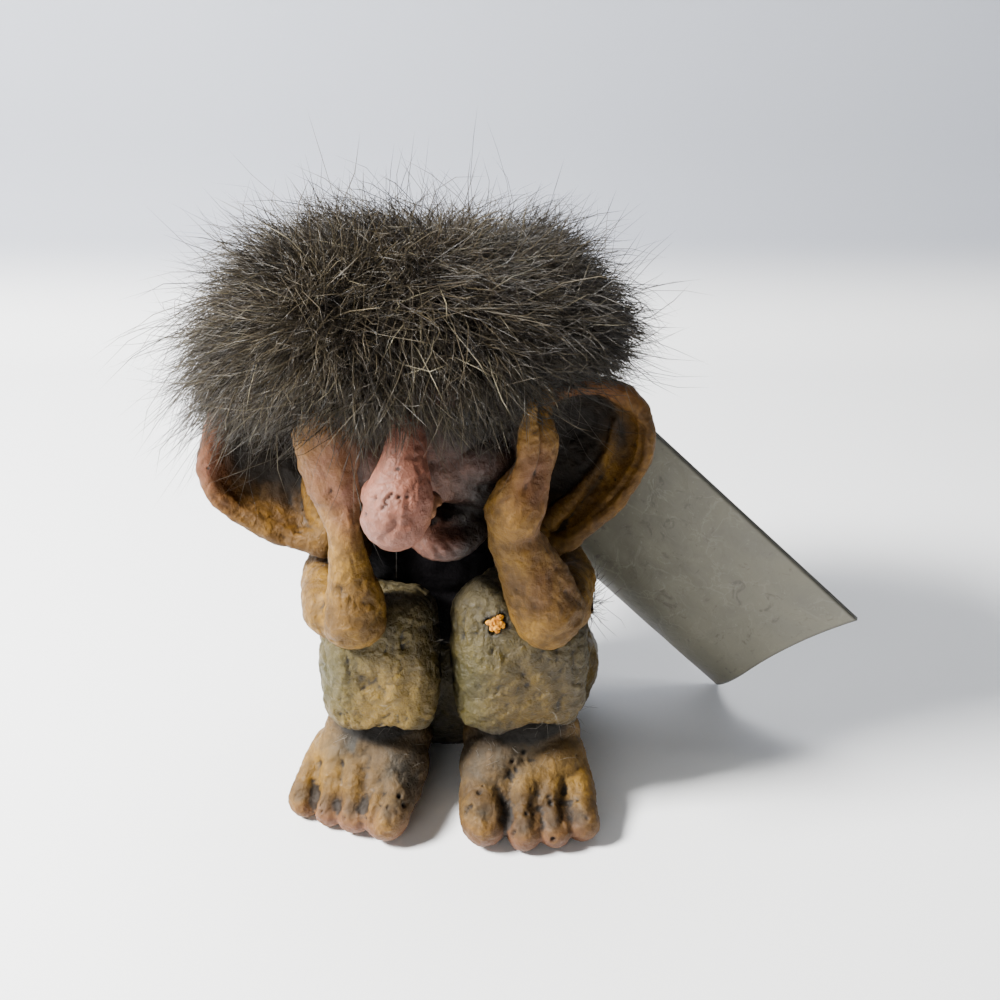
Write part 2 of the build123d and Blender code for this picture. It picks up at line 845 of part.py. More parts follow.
# tag: the card rises along one direction and lies across another, and bows away behind
heading, slope, roll = (math.radians(turn) for turn in (tag_heading, tag_slope, tag_roll))
tag_along = Vector(
    math.cos(slope) * math.cos(heading), math.cos(slope) * math.sin(heading), math.sin(slope)
)
level = tag_along.cross(up).normalized()
tag_across = level * math.cos(roll) + tag_along.cross(level) * math.sin(roll)
tag_facing = tag_along.cross(tag_across)
tag_corner = Vector(tag_corner_side, -tag_corner_forward, tag_corner_up)
tag_plane = Plane(origin=tag_corner, x_dir=tag_across, z_dir=tag_along)
hole_place = tag_corner + tag_across * tag_hole_in + tag_along * (tag_long - tag_hole_in)


def tag_leaf(low, high):
    """One leaf of the card, between two distances from the fold's middle."""
    bow = (tag_flat_wide, -tag_bow_radius)
    with BuildPart() as leaf:
        with BuildSketch(tag_plane):
            with BuildLine():
                Line((0, high), (tag_flat_wide, high))
                outer = CenterArc(bow, tag_bow_radius + high, 90, -tag_bow_turn)
                inner = CenterArc(bow, tag_bow_radius + low, 90, -tag_bow_turn)
                Line(outer @ 1, inner @ 1)
                Line((tag_flat_wide, low), (0, low))
                Line((0, low), (0, high))
            make_face()
        extrude(amount=tag_long)
        with BuildSketch(Plane(origin=hole_place, x_dir=tag_across, z_dir=tag_facing)):
            Circle(tag_hole / 2)
        extrude(amount=cut_over, both=True, mode=Mode.SUBTRACT)
    return leaf.part


finish("tag_front_leaf", tag_leaf(0, leaf_thick))
finish("tag_back_leaf", tag_leaf(-leaf_thick, 0))
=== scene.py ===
"""A squatting troll figure that props its head in its hands, with a card tag behind it.

Sizes and places are in millimetres, in the frame of the construction model: the figure faces
-Y, its own left is +X, and the ground is z = 0. A piece is turned into metres when it is done.
"""

import logging
import math
from collections.abc import Sequence
from dataclasses import dataclass, field
from enum import Enum

import bmesh
import bpy
import numpy as np
from mathutils import Euler, Matrix, Vector, noise
from mathutils.bvhtree import BVHTree

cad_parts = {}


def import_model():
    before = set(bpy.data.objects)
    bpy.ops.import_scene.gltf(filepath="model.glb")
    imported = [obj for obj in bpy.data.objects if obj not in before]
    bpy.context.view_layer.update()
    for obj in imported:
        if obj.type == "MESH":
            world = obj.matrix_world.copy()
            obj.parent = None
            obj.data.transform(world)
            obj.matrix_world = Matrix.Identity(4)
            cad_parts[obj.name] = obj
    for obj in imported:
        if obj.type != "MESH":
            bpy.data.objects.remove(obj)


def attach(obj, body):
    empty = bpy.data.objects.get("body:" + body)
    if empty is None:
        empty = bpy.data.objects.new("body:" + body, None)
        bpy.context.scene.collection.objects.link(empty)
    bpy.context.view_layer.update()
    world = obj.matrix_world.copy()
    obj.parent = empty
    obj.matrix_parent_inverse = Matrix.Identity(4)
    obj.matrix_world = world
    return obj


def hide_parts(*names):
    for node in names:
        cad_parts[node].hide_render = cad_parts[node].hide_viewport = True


LOG = logging.getLogger("troll")
METRES_PER_MM = 0.001
FIGURE = "figure"
TAG = "tag"

Place = tuple[float, float, float]
Colour = tuple[float, float, float]
Pixel = tuple[float, float]
Row = tuple[float, float, float, float]
Fuzz = tuple[Pixel, int, float]
Socket = bpy.types.NodeSocket


class Side(Enum):
    """The figure's own sides, with the sign of their X."""

    RIGHT = -1
    LEFT = 1

    @property
    def word(self) -> str:
        """The side's name in the names of pieces."""
        return self.name.lower()


class Mark(Enum):
    """What is painted on a skin, with the colour attribute and the channel that hold it."""

    # Darker in creases: the figure's dark wash together with painted shade.
    CREASE = ("tone", 0)
    BLUSH = ("tone", 2)
    DUST = ("stain", 0)
    SHADE = ("stain", 1)
    # Gold paint, which is also painted light on the lit places inside the ears and on a nostril.
    GOLD = ("stain", 2)


# The camera, and marks placed through it


@dataclass(frozen=True)
class Sight:
    """The camera of the photograph, which also places marks by their pixel.

    Args:
        eye: the camera's place.
        pitch: how far it looks down, in degrees.
        focal: focal length in pixels of a picture 1000 pixels wide.
        frame: width and height of that picture.
        sensor: width of the sensor.
        near, far: the nearest and farthest that it sees, in metres.
    """

    eye: Place = (10.0, -181.0, 146.0)
    pitch: float = 28.0
    focal: float = 1100.0
    frame: float = 1000.0
    sensor: float = 36.0
    near: float = 0.005
    far: float = 20.0

    def ray(self, pixel: Pixel) -> Vector:
        """The direction in which the camera sees a pixel."""
        across = (pixel[0] - self.frame / 2) / self.focal
        down = (pixel[1] - self.frame / 2) / self.focal
        pitch = math.radians(self.pitch)
        forward = Vector((0, math.cos(pitch), -math.sin(pitch)))
        rise = Vector((0, math.sin(pitch), math.cos(pitch)))
        return (forward + Vector((across, 0, 0)) - rise * down).normalized()

    def place(self, pixel: Pixel, y: float) -> Vector:
        """The place at a pixel on the upright plane at this y."""
        ray = self.ray(pixel)
        return Vector(self.eye) + ray * ((y - self.eye[1]) / ray.y)

    def limb(self, rows: list[Row]) -> tuple[list[Place], list[float]]:
        """A limb's path and radii from its outline.

        Args:
            rows: pixel row, left edge, right edge and the y of its middle.

        Returns:
            The places along the limb, and its radius at each.
        """
        places, radii = [], []
        for row, left, right, y in rows:
            start, end = self.place((left, row), y), self.place((right, row), y)
            places.append(tuple((start + end) / 2))
            radii.append((end - start).length / 2)
        return places, radii

    def pixels(self, points: np.ndarray) -> np.ndarray:
        """Where the camera sees each of these points."""
        pitch = math.radians(self.pitch)
        away = points - np.array(self.eye)
        depth = away @ np.array((0, math.cos(pitch), -math.sin(pitch)))
        rise = away @ np.array((0, math.sin(pitch), math.cos(pitch)))
        across = self.frame / 2 + self.focal * away[:, 0] / depth
        down = self.frame / 2 - self.focal * rise / depth
        return np.stack((across, down), axis=1)

    def build(self) -> bpy.types.Object:
        """Make the camera and set it as the scene's."""
        data = bpy.data.cameras.new("camera")
        data.sensor_width = self.sensor
        data.lens = self.sensor * self.focal / self.frame
        data.clip_start, data.clip_end = self.near, self.far
        camera = add_object("camera", data)
        camera.location = Vector(self.eye) * METRES_PER_MM
        camera.rotation_euler = (math.radians(90 - self.pitch), 0, 0)
        bpy.context.scene.camera = camera
        return camera


SIGHT = Sight()


# Helpers for meshes and objects


def add_object(name: str, data: bpy.types.ID) -> bpy.types.Object:
    """Make an object and link it to the scene."""
    made = bpy.data.objects.new(name, data)
    bpy.context.collection.objects.link(made)
    return made


def mesh_of(form: bmesh.types.BMesh, name: str) -> bpy.types.Mesh:
    """Write a form to a new mesh and free it."""
    mesh = bpy.data.meshes.new(name)
    form.to_mesh(mesh)
    form.free()
    return mesh


def keep_colours(mesh: bpy.types.Mesh, name: str, values: np.ndarray) -> None:
    """Keep a colour for each point of a mesh, as an attribute of this name."""
    layer = mesh.color_attributes.new(name, "FLOAT_COLOR", "POINT")
    layer.data.foreach_set("color", values.astype(np.float32).ravel())


def extrude(form: bmesh.types.BMesh, edges: list) -> tuple[list, list]:
    """Extrude edges where they stand.

    Args:
        form: the form that they belong to.
        edges: the edges to extrude.

    Returns:
        The new vertices, and the new edges that join only them.
    """
    grown = bmesh.ops.extrude_edge_only(form, edges=edges)["geom"]
    fresh = [part for part in grown if isinstance(part, bmesh.types.BMVert)]
    edges = [part for part in grown if isinstance(part, bmesh.types.BMEdge)]
    return fresh, [edge for edge in edges if all(vert in fresh for vert in edge.verts)]


def turned(angles: Place) -> Matrix:
    """The rotation by these angles in degrees."""
    return Euler([math.radians(angle) for angle in angles]).to_matrix()


def nearness(points: np.ndarray, place: Place, sizes: Place) -> np.ndarray:
    """How near each point lies to a place: 1 there, and softly less over these sizes."""
    away = (points - np.array(place)) / np.array(sizes)
    return np.exp(-np.einsum("ij,ij->i", away, away))


# Node helpers and shared shader groups


# The numbers of a colour mix's sockets, since several of them share a name
MIX_SHARE, MIX_LOW, MIX_HIGH, MIX_COLOUR = 0, 6, 7, 2


class Nodes:
    """A short way to add and link the nodes of one tree."""

    def __init__(self, tree: bpy.types.NodeTree) -> None:
        """Keep the tree."""
        self.tree = tree

    def add(
        self, kind: str, settings: dict | None = None, inputs: dict | None = None
    ) -> bpy.types.Node:
        """Add a node.

        Args:
            kind: the node's type without its ShaderNode start.
            settings: properties of the node.
            inputs: values or sockets for its inputs, by name or number.

        Returns:
            The new node.
        """
        node = self.tree.nodes.new(f"ShaderNode{kind}")
        for name, value in (settings or {}).items():
            setattr(node, name, value)
        for name, value in (inputs or {}).items():
            socket = node.inputs[name]
            if isinstance(value, Socket):
                self.tree.links.new(value, socket)
            else:
                socket.default_value = value
        return node

    def math(self, operation: str, *values: Socket | float) -> Socket:
        """Add a math node and return its result."""
        return self.add("Math", {"operation": operation}, dict(enumerate(values))).outputs[0]

    def mix(self, share: Socket | float, low: Socket | Colour, high: Socket | Colour) -> Socket:
        """Mix two colours by a share and return the colour."""
        inputs = {MIX_SHARE: share}
        for number, value in ((MIX_LOW, low), (MIX_HIGH, high)):
            inputs[number] = value if isinstance(value, Socket) else (*value, 1.0)
        settings = {"data_type": "RGBA", "blend_type": "MIX", "clamp_factor": True}
        return self.add("Mix", settings, inputs).outputs[MIX_COLOUR]

    def ramp(self, value: Socket, low: float, high: float) -> Socket:
        """Spread a value from low..high over 0..1, smoothly."""
        settings = {"interpolation_type": "SMOOTHSTEP"}
        inputs = {"Value": value, "From Min": low, "From Max": high}
        return self.add("MapRange", settings, inputs).outputs[0]

    def noise(
        self, place: Socket, scale: float, detail: float, rough: float, warp: float = 0.0
    ) -> Socket:
        """The value of a noise pattern."""
        inputs = {"Scale": scale, "Detail": detail, "Roughness": rough, "Distortion": warp}
        return self.add("TexNoise", {}, {**inputs, "Vector": place}).outputs[0]


def group_socket(
    tree: bpy.types.NodeTree, name: str, kind: str, way: str, value: float | None = None
) -> None:
    """Add a named input or output to a shader group."""
    socket = tree.interface.new_socket(name, in_out=way, socket_type=f"NodeSocket{kind}")
    if value is not None:
        socket.default_value = value


class SharedEffects:
    """Shader groups that several finishes share, each built once."""

    def __init__(self) -> None:
        """Build both groups."""
        self.mottle = self._mottle()
        self.pores = self._pores()

    def _mottle(self) -> bpy.types.NodeTree:
        """Washes of paint: broad and fine blotches over a moulded surface."""
        tree = bpy.data.node_groups.new("paint_washes", "ShaderNodeTree")
        group_socket(tree, "Place", "Vector", "INPUT")
        group_socket(tree, "Size", "Float", "INPUT", 1.0)
        for name in ("Broad", "Fine", "Streaks"):
            group_socket(tree, name, "Float", "OUTPUT")
        nodes = Nodes(tree)
        given = tree.nodes.new("NodeGroupInput")
        result = tree.nodes.new("NodeGroupOutput")
        scaled = nodes.add("VectorMath", {"operation": "SCALE"})
        tree.links.new(given.outputs["Place"], scaled.inputs[0])
        tree.links.new(given.outputs["Size"], scaled.inputs["Scale"])
        place = scaled.outputs[0]
        broad = nodes.ramp(nodes.noise(place, 130.0, 4.0, 0.55, 0.6), 0.36, 0.66)
        fine = nodes.ramp(nodes.noise(place, 620.0, 5.0, 0.65, 0.3), 0.34, 0.68)
        stretch = nodes.add("Mapping", {}, {"Vector": place, "Scale": (1.0, 1.0, 0.35)})
        streaks = nodes.ramp(nodes.noise(stretch.outputs[0], 420.0, 4.0, 0.6, 1.4), 0.40, 0.64)
        for name, value in (("Broad", broad), ("Fine", fine), ("Streaks", streaks)):
            tree.links.new(value, result.inputs[name])
        return tree

    def _pores(self) -> bpy.types.NodeTree:
        """Pinholes and pebbling of a foam casting, as a height and a mask of the pinholes."""
        tree = bpy.data.node_groups.new("cast_pores", "ShaderNodeTree")
        group_socket(tree, "Place", "Vector", "INPUT")
        group_socket(tree, "Holes", "Float", "INPUT", 0.5)
        for name in ("Height", "Pinholes"):
            group_socket(tree, name, "Float", "OUTPUT")
        nodes = Nodes(tree)
        given = tree.nodes.new("NodeGroupInput")
        result = tree.nodes.new("NodeGroupOutput")
        place = given.outputs["Place"]
        pebble = nodes.noise(place, 1500.0, 4.0, 0.6, 0.2)
        grain = nodes.noise(place, 420.0, 3.0, 0.5, 0.8)
        cells = nodes.add("TexVoronoi", {"feature": "F1"}, {"Vector": place, "Scale": 300.0})
        near = nodes.ramp(cells.outputs["Distance"], 0.11, 0.04)
        chosen = nodes.noise(place, 160.0, 2.0, 0.5)
        limit = nodes.math("SUBTRACT", 1.0, given.outputs["Holes"])
        some = nodes.math("GREATER_THAN", chosen, limit)
        holes = nodes.math("MULTIPLY", near, some)
        height = nodes.math("MULTIPLY_ADD", pebble, 0.35, nodes.math("MULTIPLY", grain, 0.65))
        height = nodes.math("SUBTRACT", height, nodes.math("MULTIPLY", holes, 1.6))
        tree.links.new(height, result.inputs["Height"])
        tree.links.new(holes, result.inputs["Pinholes"])
        return tree


# Finishes


class Surface:
    """A material round one Principled shader, and the nodes that feed it.

    Args:
        name: the material's name.
        roughness: the shader's roughness.
        specular: the shader's specular level.
    """

    def __init__(self, name: str, roughness: float, specular: float) -> None:
        """Make the material and find its shader."""
        self.material = bpy.data.materials.new(name)
        self.material.use_nodes = True
        self.nodes = Nodes(self.material.node_tree)
        self.inputs = self.material.node_tree.nodes["Principled BSDF"].inputs
        self.inputs["Roughness"].default_value = roughness
        self.inputs["Specular IOR Level"].default_value = specular

    def place(self) -> Socket:
        """The place on the piece."""
        return self.nodes.add("TexCoord").outputs["Object"]

    def channels(self, name: str) -> bpy.types.bpy_prop_collection:
        """The channels of one of the piece's colour attributes."""
        colour = self.nodes.add("Attribute", {"attribute_name": name}).outputs["Color"]
        return self.nodes.add("SeparateColor", {}, {"Color": colour}).outputs

    def feed(self, name: str, value: Socket) -> None:
        """Lead a value to one of the shader's inputs."""
        self.nodes.tree.links.new(value, self.inputs[name])

    def relief(self, strength: float, distance: float, height: Socket) -> None:
        """Lead a height to the shader as fine relief."""
        inputs = {"Strength": strength, "Distance": distance, "Height": height}
        self.feed("Normal", self.nodes.add("Bump", {}, inputs).outputs[0])


@dataclass(frozen=True)
class PaintedSkin:
    """Painted foam rubber: washes of paint, worn ridges, and creases and pinholes that a dark
    wash together with painted shade darkens.

    The piece's tone attribute holds creases, ridges and blush; the creases are darkened by a dark
    wash together with painted shade. Its second attribute holds grey dust, painted shade, and gold,
    which is also painted light where it is marked.
    """

    name: str
    light: Colour
    middle: Colour
    deep: Colour
    # The colour of the dark wash and of painted shade: creases, pinholes and shade patches mix to it.
    crease: Colour = (0.030, 0.022, 0.017)
    blush: Colour = (0.43, 0.20, 0.15)
    dust: Colour = (0.16, 0.14, 0.12)
    gold: Colour = (0.52, 0.27, 0.07)
    roughness: float = 0.56
    specular: float = 0.42
    pores: float = 0.42
    bump: float = 0.55
    crease_share: float = 0.85

    def material(self, effects: SharedEffects) -> bpy.types.Material:
        """Build the material."""
        surface = Surface(self.name, self.roughness, self.specular)
        nodes, place = surface.nodes, surface.place()
        washes = nodes.add("Group", {"node_tree": effects.mottle}, {"Place": place, "Size": 1.0})
        inputs = {"Place": place, "Holes": self.pores}
        pores = nodes.add("Group", {"node_tree": effects.pores}, inputs)
        tones, dust_shades = surface.channels("tone"), surface.channels("stain")
        broad, fine, streaks = (washes.outputs[name] for name in ("Broad", "Fine", "Streaks"))
        colour = nodes.mix(broad, self.middle, self.light)
        dark = nodes.math("MULTIPLY", nodes.math("SUBTRACT", 1.0, fine), 0.55)
        colour = nodes.mix(dark, colour, self.deep)
        colour = nodes.mix(nodes.math("MULTIPLY", streaks, 0.30), colour, self.deep)
        blushed = nodes.math("MULTIPLY", tones["Blue"], nodes.math("MULTIPLY_ADD", fine, 0.35, 0.65))
        colour = nodes.mix(blushed, colour, self.blush)
        # Gold paint, which is also painted light where it is marked.
        gold = nodes.math("MULTIPLY", dust_shades["Blue"], nodes.math("MULTIPLY_ADD", fine, 0.4, 0.6))
        colour = nodes.mix(gold, colour, self.gold)
        ridge = nodes.math("MULTIPLY", nodes.ramp(tones["Green"], 0.35, 1.0), 0.45)
        colour = nodes.mix(ridge, colour, nodes.mix(0.5, colour, self.light))
        dusty = nodes.math("MULTIPLY", dust_shades["Red"], nodes.math("MULTIPLY_ADD", broad, 0.5, 0.5))
        colour = nodes.mix(dusty, colour, self.dust)
        shade = nodes.math("MULTIPLY", dust_shades["Green"], 0.95)
        colour = nodes.mix(shade, colour, self.crease)
        # Creases: a dark wash together with painted shade.
        creased = nodes.math("MULTIPLY", nodes.ramp(tones["Red"], 0.12, 0.95), self.crease_share)
        colour = nodes.mix(creased, colour, self.crease)
        # Pinholes darkened with painted shade.
        holes = nodes.math("MULTIPLY", pores.outputs["Pinholes"], 0.8)
        colour = nodes.mix(holes, colour, self.crease)
        surface.feed("Base Color", colour)
        rough = nodes.math("MULTIPLY_ADD", fine, -0.14, self.roughness + 0.07)
        surface.feed("Roughness", nodes.math("MULTIPLY_ADD", dust_shades["Red"], 0.2, rough))
        height = nodes.math("MULTIPLY_ADD", fine, 0.45, pores.outputs["Height"])
        surface.relief(self.bump, 0.00055, height)
        return surface.material


@dataclass(frozen=True)
class FurFinish:
    """Long synthetic pile: every strand has its own tone, and painted shade darkens it towards its
    root and where it is marked dark; its palest strands are pale fibres and painted glints.
    """

    name: str
    dark: Colour = (0.005, 0.004, 0.003)
    brown: Colour = (0.019, 0.013, 0.008)
    olive: Colour = (0.074, 0.057, 0.031)
    silver: Colour = (0.24, 0.205, 0.125)
    roughness: float = 0.40
    specular: float = 0.36

    def material(self) -> bpy.types.Material:
        """Build the material."""
        surface = Surface(self.name, self.roughness, self.specular)
        nodes, parts = surface.nodes, surface.channels("strand")
        colour = nodes.mix(nodes.ramp(parts["Red"], 0.15, 0.6), self.brown, self.olive)
        colour = nodes.mix(nodes.ramp(parts["Red"], 0.82, 1.0), colour, self.silver)
        # Painted shade: darker towards the root, and where the strand is marked dark.
        root = nodes.ramp(parts["Green"], 0.75, 0.0)
        colour = nodes.mix(nodes.math("MULTIPLY", root, 0.85), colour, self.dark)
        colour = nodes.mix(nodes.math("MULTIPLY", parts["Blue"], 0.72), colour, self.dark)
        surface.feed("Base Color", colour)
        return surface.material


@dataclass(frozen=True)
class PlainFinish:
    """A small hidden or plain surface with a grain of its own."""

    name: str
    light: Colour
    deep: Colour
    roughness: float
    specular: float
    scale: float
    bump: float = 0.3

    def material(self) -> bpy.types.Material:
        """Build the material."""
        surface = Surface(self.name, self.roughness, self.specular)
        nodes = surface.nodes
        grain = nodes.noise(surface.place(), self.scale, 5.0, 0.6, 0.4)
        surface.feed("Base Color", nodes.mix(nodes.ramp(grain, 0.38, 0.62), self.deep, self.light))
        surface.relief(self.bump, 0.0003, grain)
        return surface.material


@dataclass(frozen=True)
class CardFinish:
    """Bare grey card with pale scuffs and grubby edges.

    The piece's card attribute holds how pale the card is, paler towards its lower end as painted
    light and darker towards its top as painted shade, and how near its edge lies.
    """

    name: str = "scuffed_card"
    pale: Colour = (0.168, 0.158, 0.118)
    grey: Colour = (0.080, 0.075, 0.056)
    grime: Colour = (0.030, 0.027, 0.020)
    scuff: Colour = (0.25, 0.24, 0.19)
    roughness: float = 0.42
    specular: float = 0.45

    def material(self) -> bpy.types.Material:
        """Build the material."""
        surface = Surface(self.name, self.roughness, self.specular)
        nodes, place, parts = surface.nodes, surface.place(), surface.channels("card")
        cloudy = nodes.ramp(nodes.noise(place, 70.0, 5.0, 0.6, 0.8), 0.30, 0.70)
        # Pale towards the lower end, as painted light, and grey towards the top, as painted shade.
        share = nodes.math("MULTIPLY_ADD", cloudy, 0.45, nodes.math("MULTIPLY", parts["Red"], 0.65))
        colour = nodes.mix(share, self.grey, self.pale)
        warped = nodes.noise(place, 260.0, 3.0, 0.6, 1.0)
        jitter = nodes.add("CombineXYZ", {}, {0: warped, 1: warped, 2: warped}).outputs[0]
        small = nodes.add("VectorMath", {"operation": "SCALE"}, {0: jitter, "Scale": 0.006}).outputs[0]
        moved = nodes.add("VectorMath", {"operation": "ADD"}, {0: place, 1: small}).outputs[0]
        inputs = {"Vector": moved, "Scale": 150.0}
        scratch = nodes.add("TexVoronoi", {"feature": "DISTANCE_TO_EDGE"}, inputs)
        crackle = nodes.ramp(scratch.outputs["Distance"], 0.045, 0.0)
        patch = nodes.ramp(nodes.noise(place, 110.0, 4.0, 0.6, 0.5), 0.44, 0.60)
        worn = nodes.math("MULTIPLY", nodes.math("MULTIPLY", crackle, patch), 0.22)
        colour = nodes.mix(worn, colour, self.scuff)
        speck = nodes.ramp(nodes.noise(place, 900.0, 4.0, 0.7, 0.6), 0.60, 0.72)
        colour = nodes.mix(nodes.math("MULTIPLY", speck, 0.35), colour, self.scuff)
        dirt = nodes.ramp(nodes.noise(place, 300.0, 4.0, 0.65, 1.2), 0.56, 0.70)
        colour = nodes.mix(nodes.math("MULTIPLY", dirt, 0.4), colour, self.grime)
        edge = nodes.math("MULTIPLY", parts["Green"], 0.8)
        colour = nodes.mix(edge, colour, self.grime)
        surface.feed("Base Color", colour)
        surface.feed("Roughness", nodes.math("MULTIPLY_ADD", cloudy, 0.2, self.roughness))
        height = nodes.math("ADD", nodes.math("MULTIPLY", worn, -0.6), warped)
        surface.relief(0.35, 0.0004, height)
        return surface.material


class Finishes:
    """Every finish of the figure and its tag, built once."""

    def __init__(self) -> None:
        """Build the materials."""
        effects = SharedEffects()
        self.skin = PaintedSkin(
            "ochre_skin", light=(0.220, 0.112, 0.009), middle=(0.110, 0.053, 0.005),
            deep=(0.034, 0.017, 0.004), blush=(0.150, 0.060, 0.034), crease_share=0.9,
            crease=(0.006, 0.005, 0.004), gold=(0.250, 0.132, 0.009), dust=(0.040, 0.036, 0.029),
            specular=0.24,
        ).material(effects)
        self.face = PaintedSkin(
            "face_skin", light=(0.080, 0.033, 0.017), middle=(0.046, 0.019, 0.010),
            deep=(0.022, 0.010, 0.006), crease=(0.007, 0.005, 0.004), blush=(0.235, 0.092, 0.060),
            gold=(0.170, 0.088, 0.012), specular=0.27, roughness=0.46, pores=0.25,
        ).material(effects)
        self.ear = PaintedSkin(
            "ear_skin", light=(0.165, 0.078, 0.009), middle=(0.085, 0.039, 0.006),
            deep=(0.030, 0.015, 0.006), crease=(0.006, 0.005, 0.004), blush=(0.140, 0.052, 0.029),
            gold=(0.200, 0.102, 0.009), specular=0.18,
        ).material(effects)
        self.trousers = PaintedSkin(
            "moss_trousers", light=(0.108, 0.072, 0.004), middle=(0.054, 0.037, 0.003),
            deep=(0.018, 0.013, 0.004), crease=(0.005, 0.004, 0.003), blush=(0.025, 0.032, 0.006),
            dust=(0.040, 0.031, 0.014), gold=(0.175, 0.096, 0.005), roughness=0.44, pores=0.30,
            crease_share=0.85, specular=0.36, bump=0.9,
        ).material(effects)
        # Near black: painted shade for the dark hollow under the chin, between the arms.
        self.shirt = PaintedSkin(
            "dark_body", light=(0.0100, 0.0085, 0.0095), middle=(0.0080, 0.0066, 0.0074),
            deep=(0.0060, 0.0050, 0.0056), crease=(0.0060, 0.0052, 0.0060), roughness=0.80,
            specular=0.06,
        ).material(effects)
        self.fur = FurFinish("fur_pile").material()
        self.undercoat = PlainFinish(
            "fur_undercoat", (0.022, 0.017, 0.012), (0.008, 0.006, 0.005), 0.9, 0.1, 900.0, 0.8
        ).material()
        self.foam = PlainFinish(
            "golden_foam", (0.62, 0.28, 0.02), (0.34, 0.12, 0.01), 0.85, 0.2, 1400.0, 0.9
        ).material()
        self.bead = PlainFinish(
            "black_bead", (0.010, 0.009, 0.008), (0.004, 0.004, 0.004), 0.08, 0.6, 300.0, 0.05
        ).material()
        self.card = CardFinish().material()
        self.lint = PlainFinish(
            "pale_lint", (0.20, 0.18, 0.15), (0.10, 0.09, 0.075), 0.6, 0.3, 500.0
        ).material()


# Modelling


def smooth_path(points: list[Vector], steps: int = 8) -> list[Vector]:
    """Points along a smooth curve through the given ones.

    Args:
        points: the places that the curve goes through.
        steps: points for each stretch.

    Returns:
        The points of the curve, ends included.
    """
    if len(points) < 3:
        return [points[0].lerp(points[-1], step / steps) for step in range(steps + 1)]
    result = []
    for index in range(len(points) - 1):
        before = points[max(index - 1, 0)]
        start, end = points[index], points[index + 1]
        after = points[min(index + 2, len(points) - 1)]
        for step in range(steps):
            t = step / steps
            square = (2 * before - 5 * start + 4 * end - after) * t * t
            cube = (3 * start - before - 3 * end + after) * t * t * t
            result.append(0.5 * (2 * start + (end - before) * t + square + cube))
    result.append(points[-1])
    return result


def smooth_values(values: Sequence[float], steps: int = 8) -> list[float]:
    """The same smoothing for numbers, such as radii along a path."""
    return [place.x for place in smooth_path([Vector((value, 0, 0)) for value in values], steps)]


def settle(piece: bpy.types.Object) -> None:
    """Apply a piece's modifiers to its mesh."""
    bpy.context.view_layer.update()
    graph = bpy.context.evaluated_depsgraph_get()
    mesh = bpy.data.meshes.new_from_object(piece.evaluated_get(graph))
    piece.modifiers.clear()
    piece.data = mesh


def distance_to_path(points: np.ndarray, path: list[Vector]) -> np.ndarray:
    """How far each point lies from a path of straight runs."""
    nearest = np.full(len(points), 1e9)
    for start, end in zip(path, path[1:]):
        a, b = np.array(start), np.array(end)
        run = b - a
        length = float(run @ run) or 1e-9
        share = np.clip((points - a) @ run / length, 0, 1)
        away = points - (a + share[:, None] * run)
        nearest = np.minimum(nearest, np.einsum("ij,ij->i", away, away))
    return np.sqrt(nearest)


NOISE_TURN = Euler((0.6, 0.9, 0.4)).to_matrix()
NOISE_SEED = 5
NOISE_WARP, WARP_SCALE = 0.9, 0.45


def noise_spots(points: np.ndarray, seed: float) -> list[Vector]:
    """Turn and warp places before a noise is read there, so that its grid never shows."""
    shift = Vector((seed, seed * 1.7, -seed))
    spots = [NOISE_TURN @ Vector(place) + shift for place in points]
    return [spot + noise.noise_vector(spot * WARP_SCALE) * NOISE_WARP for spot in spots]


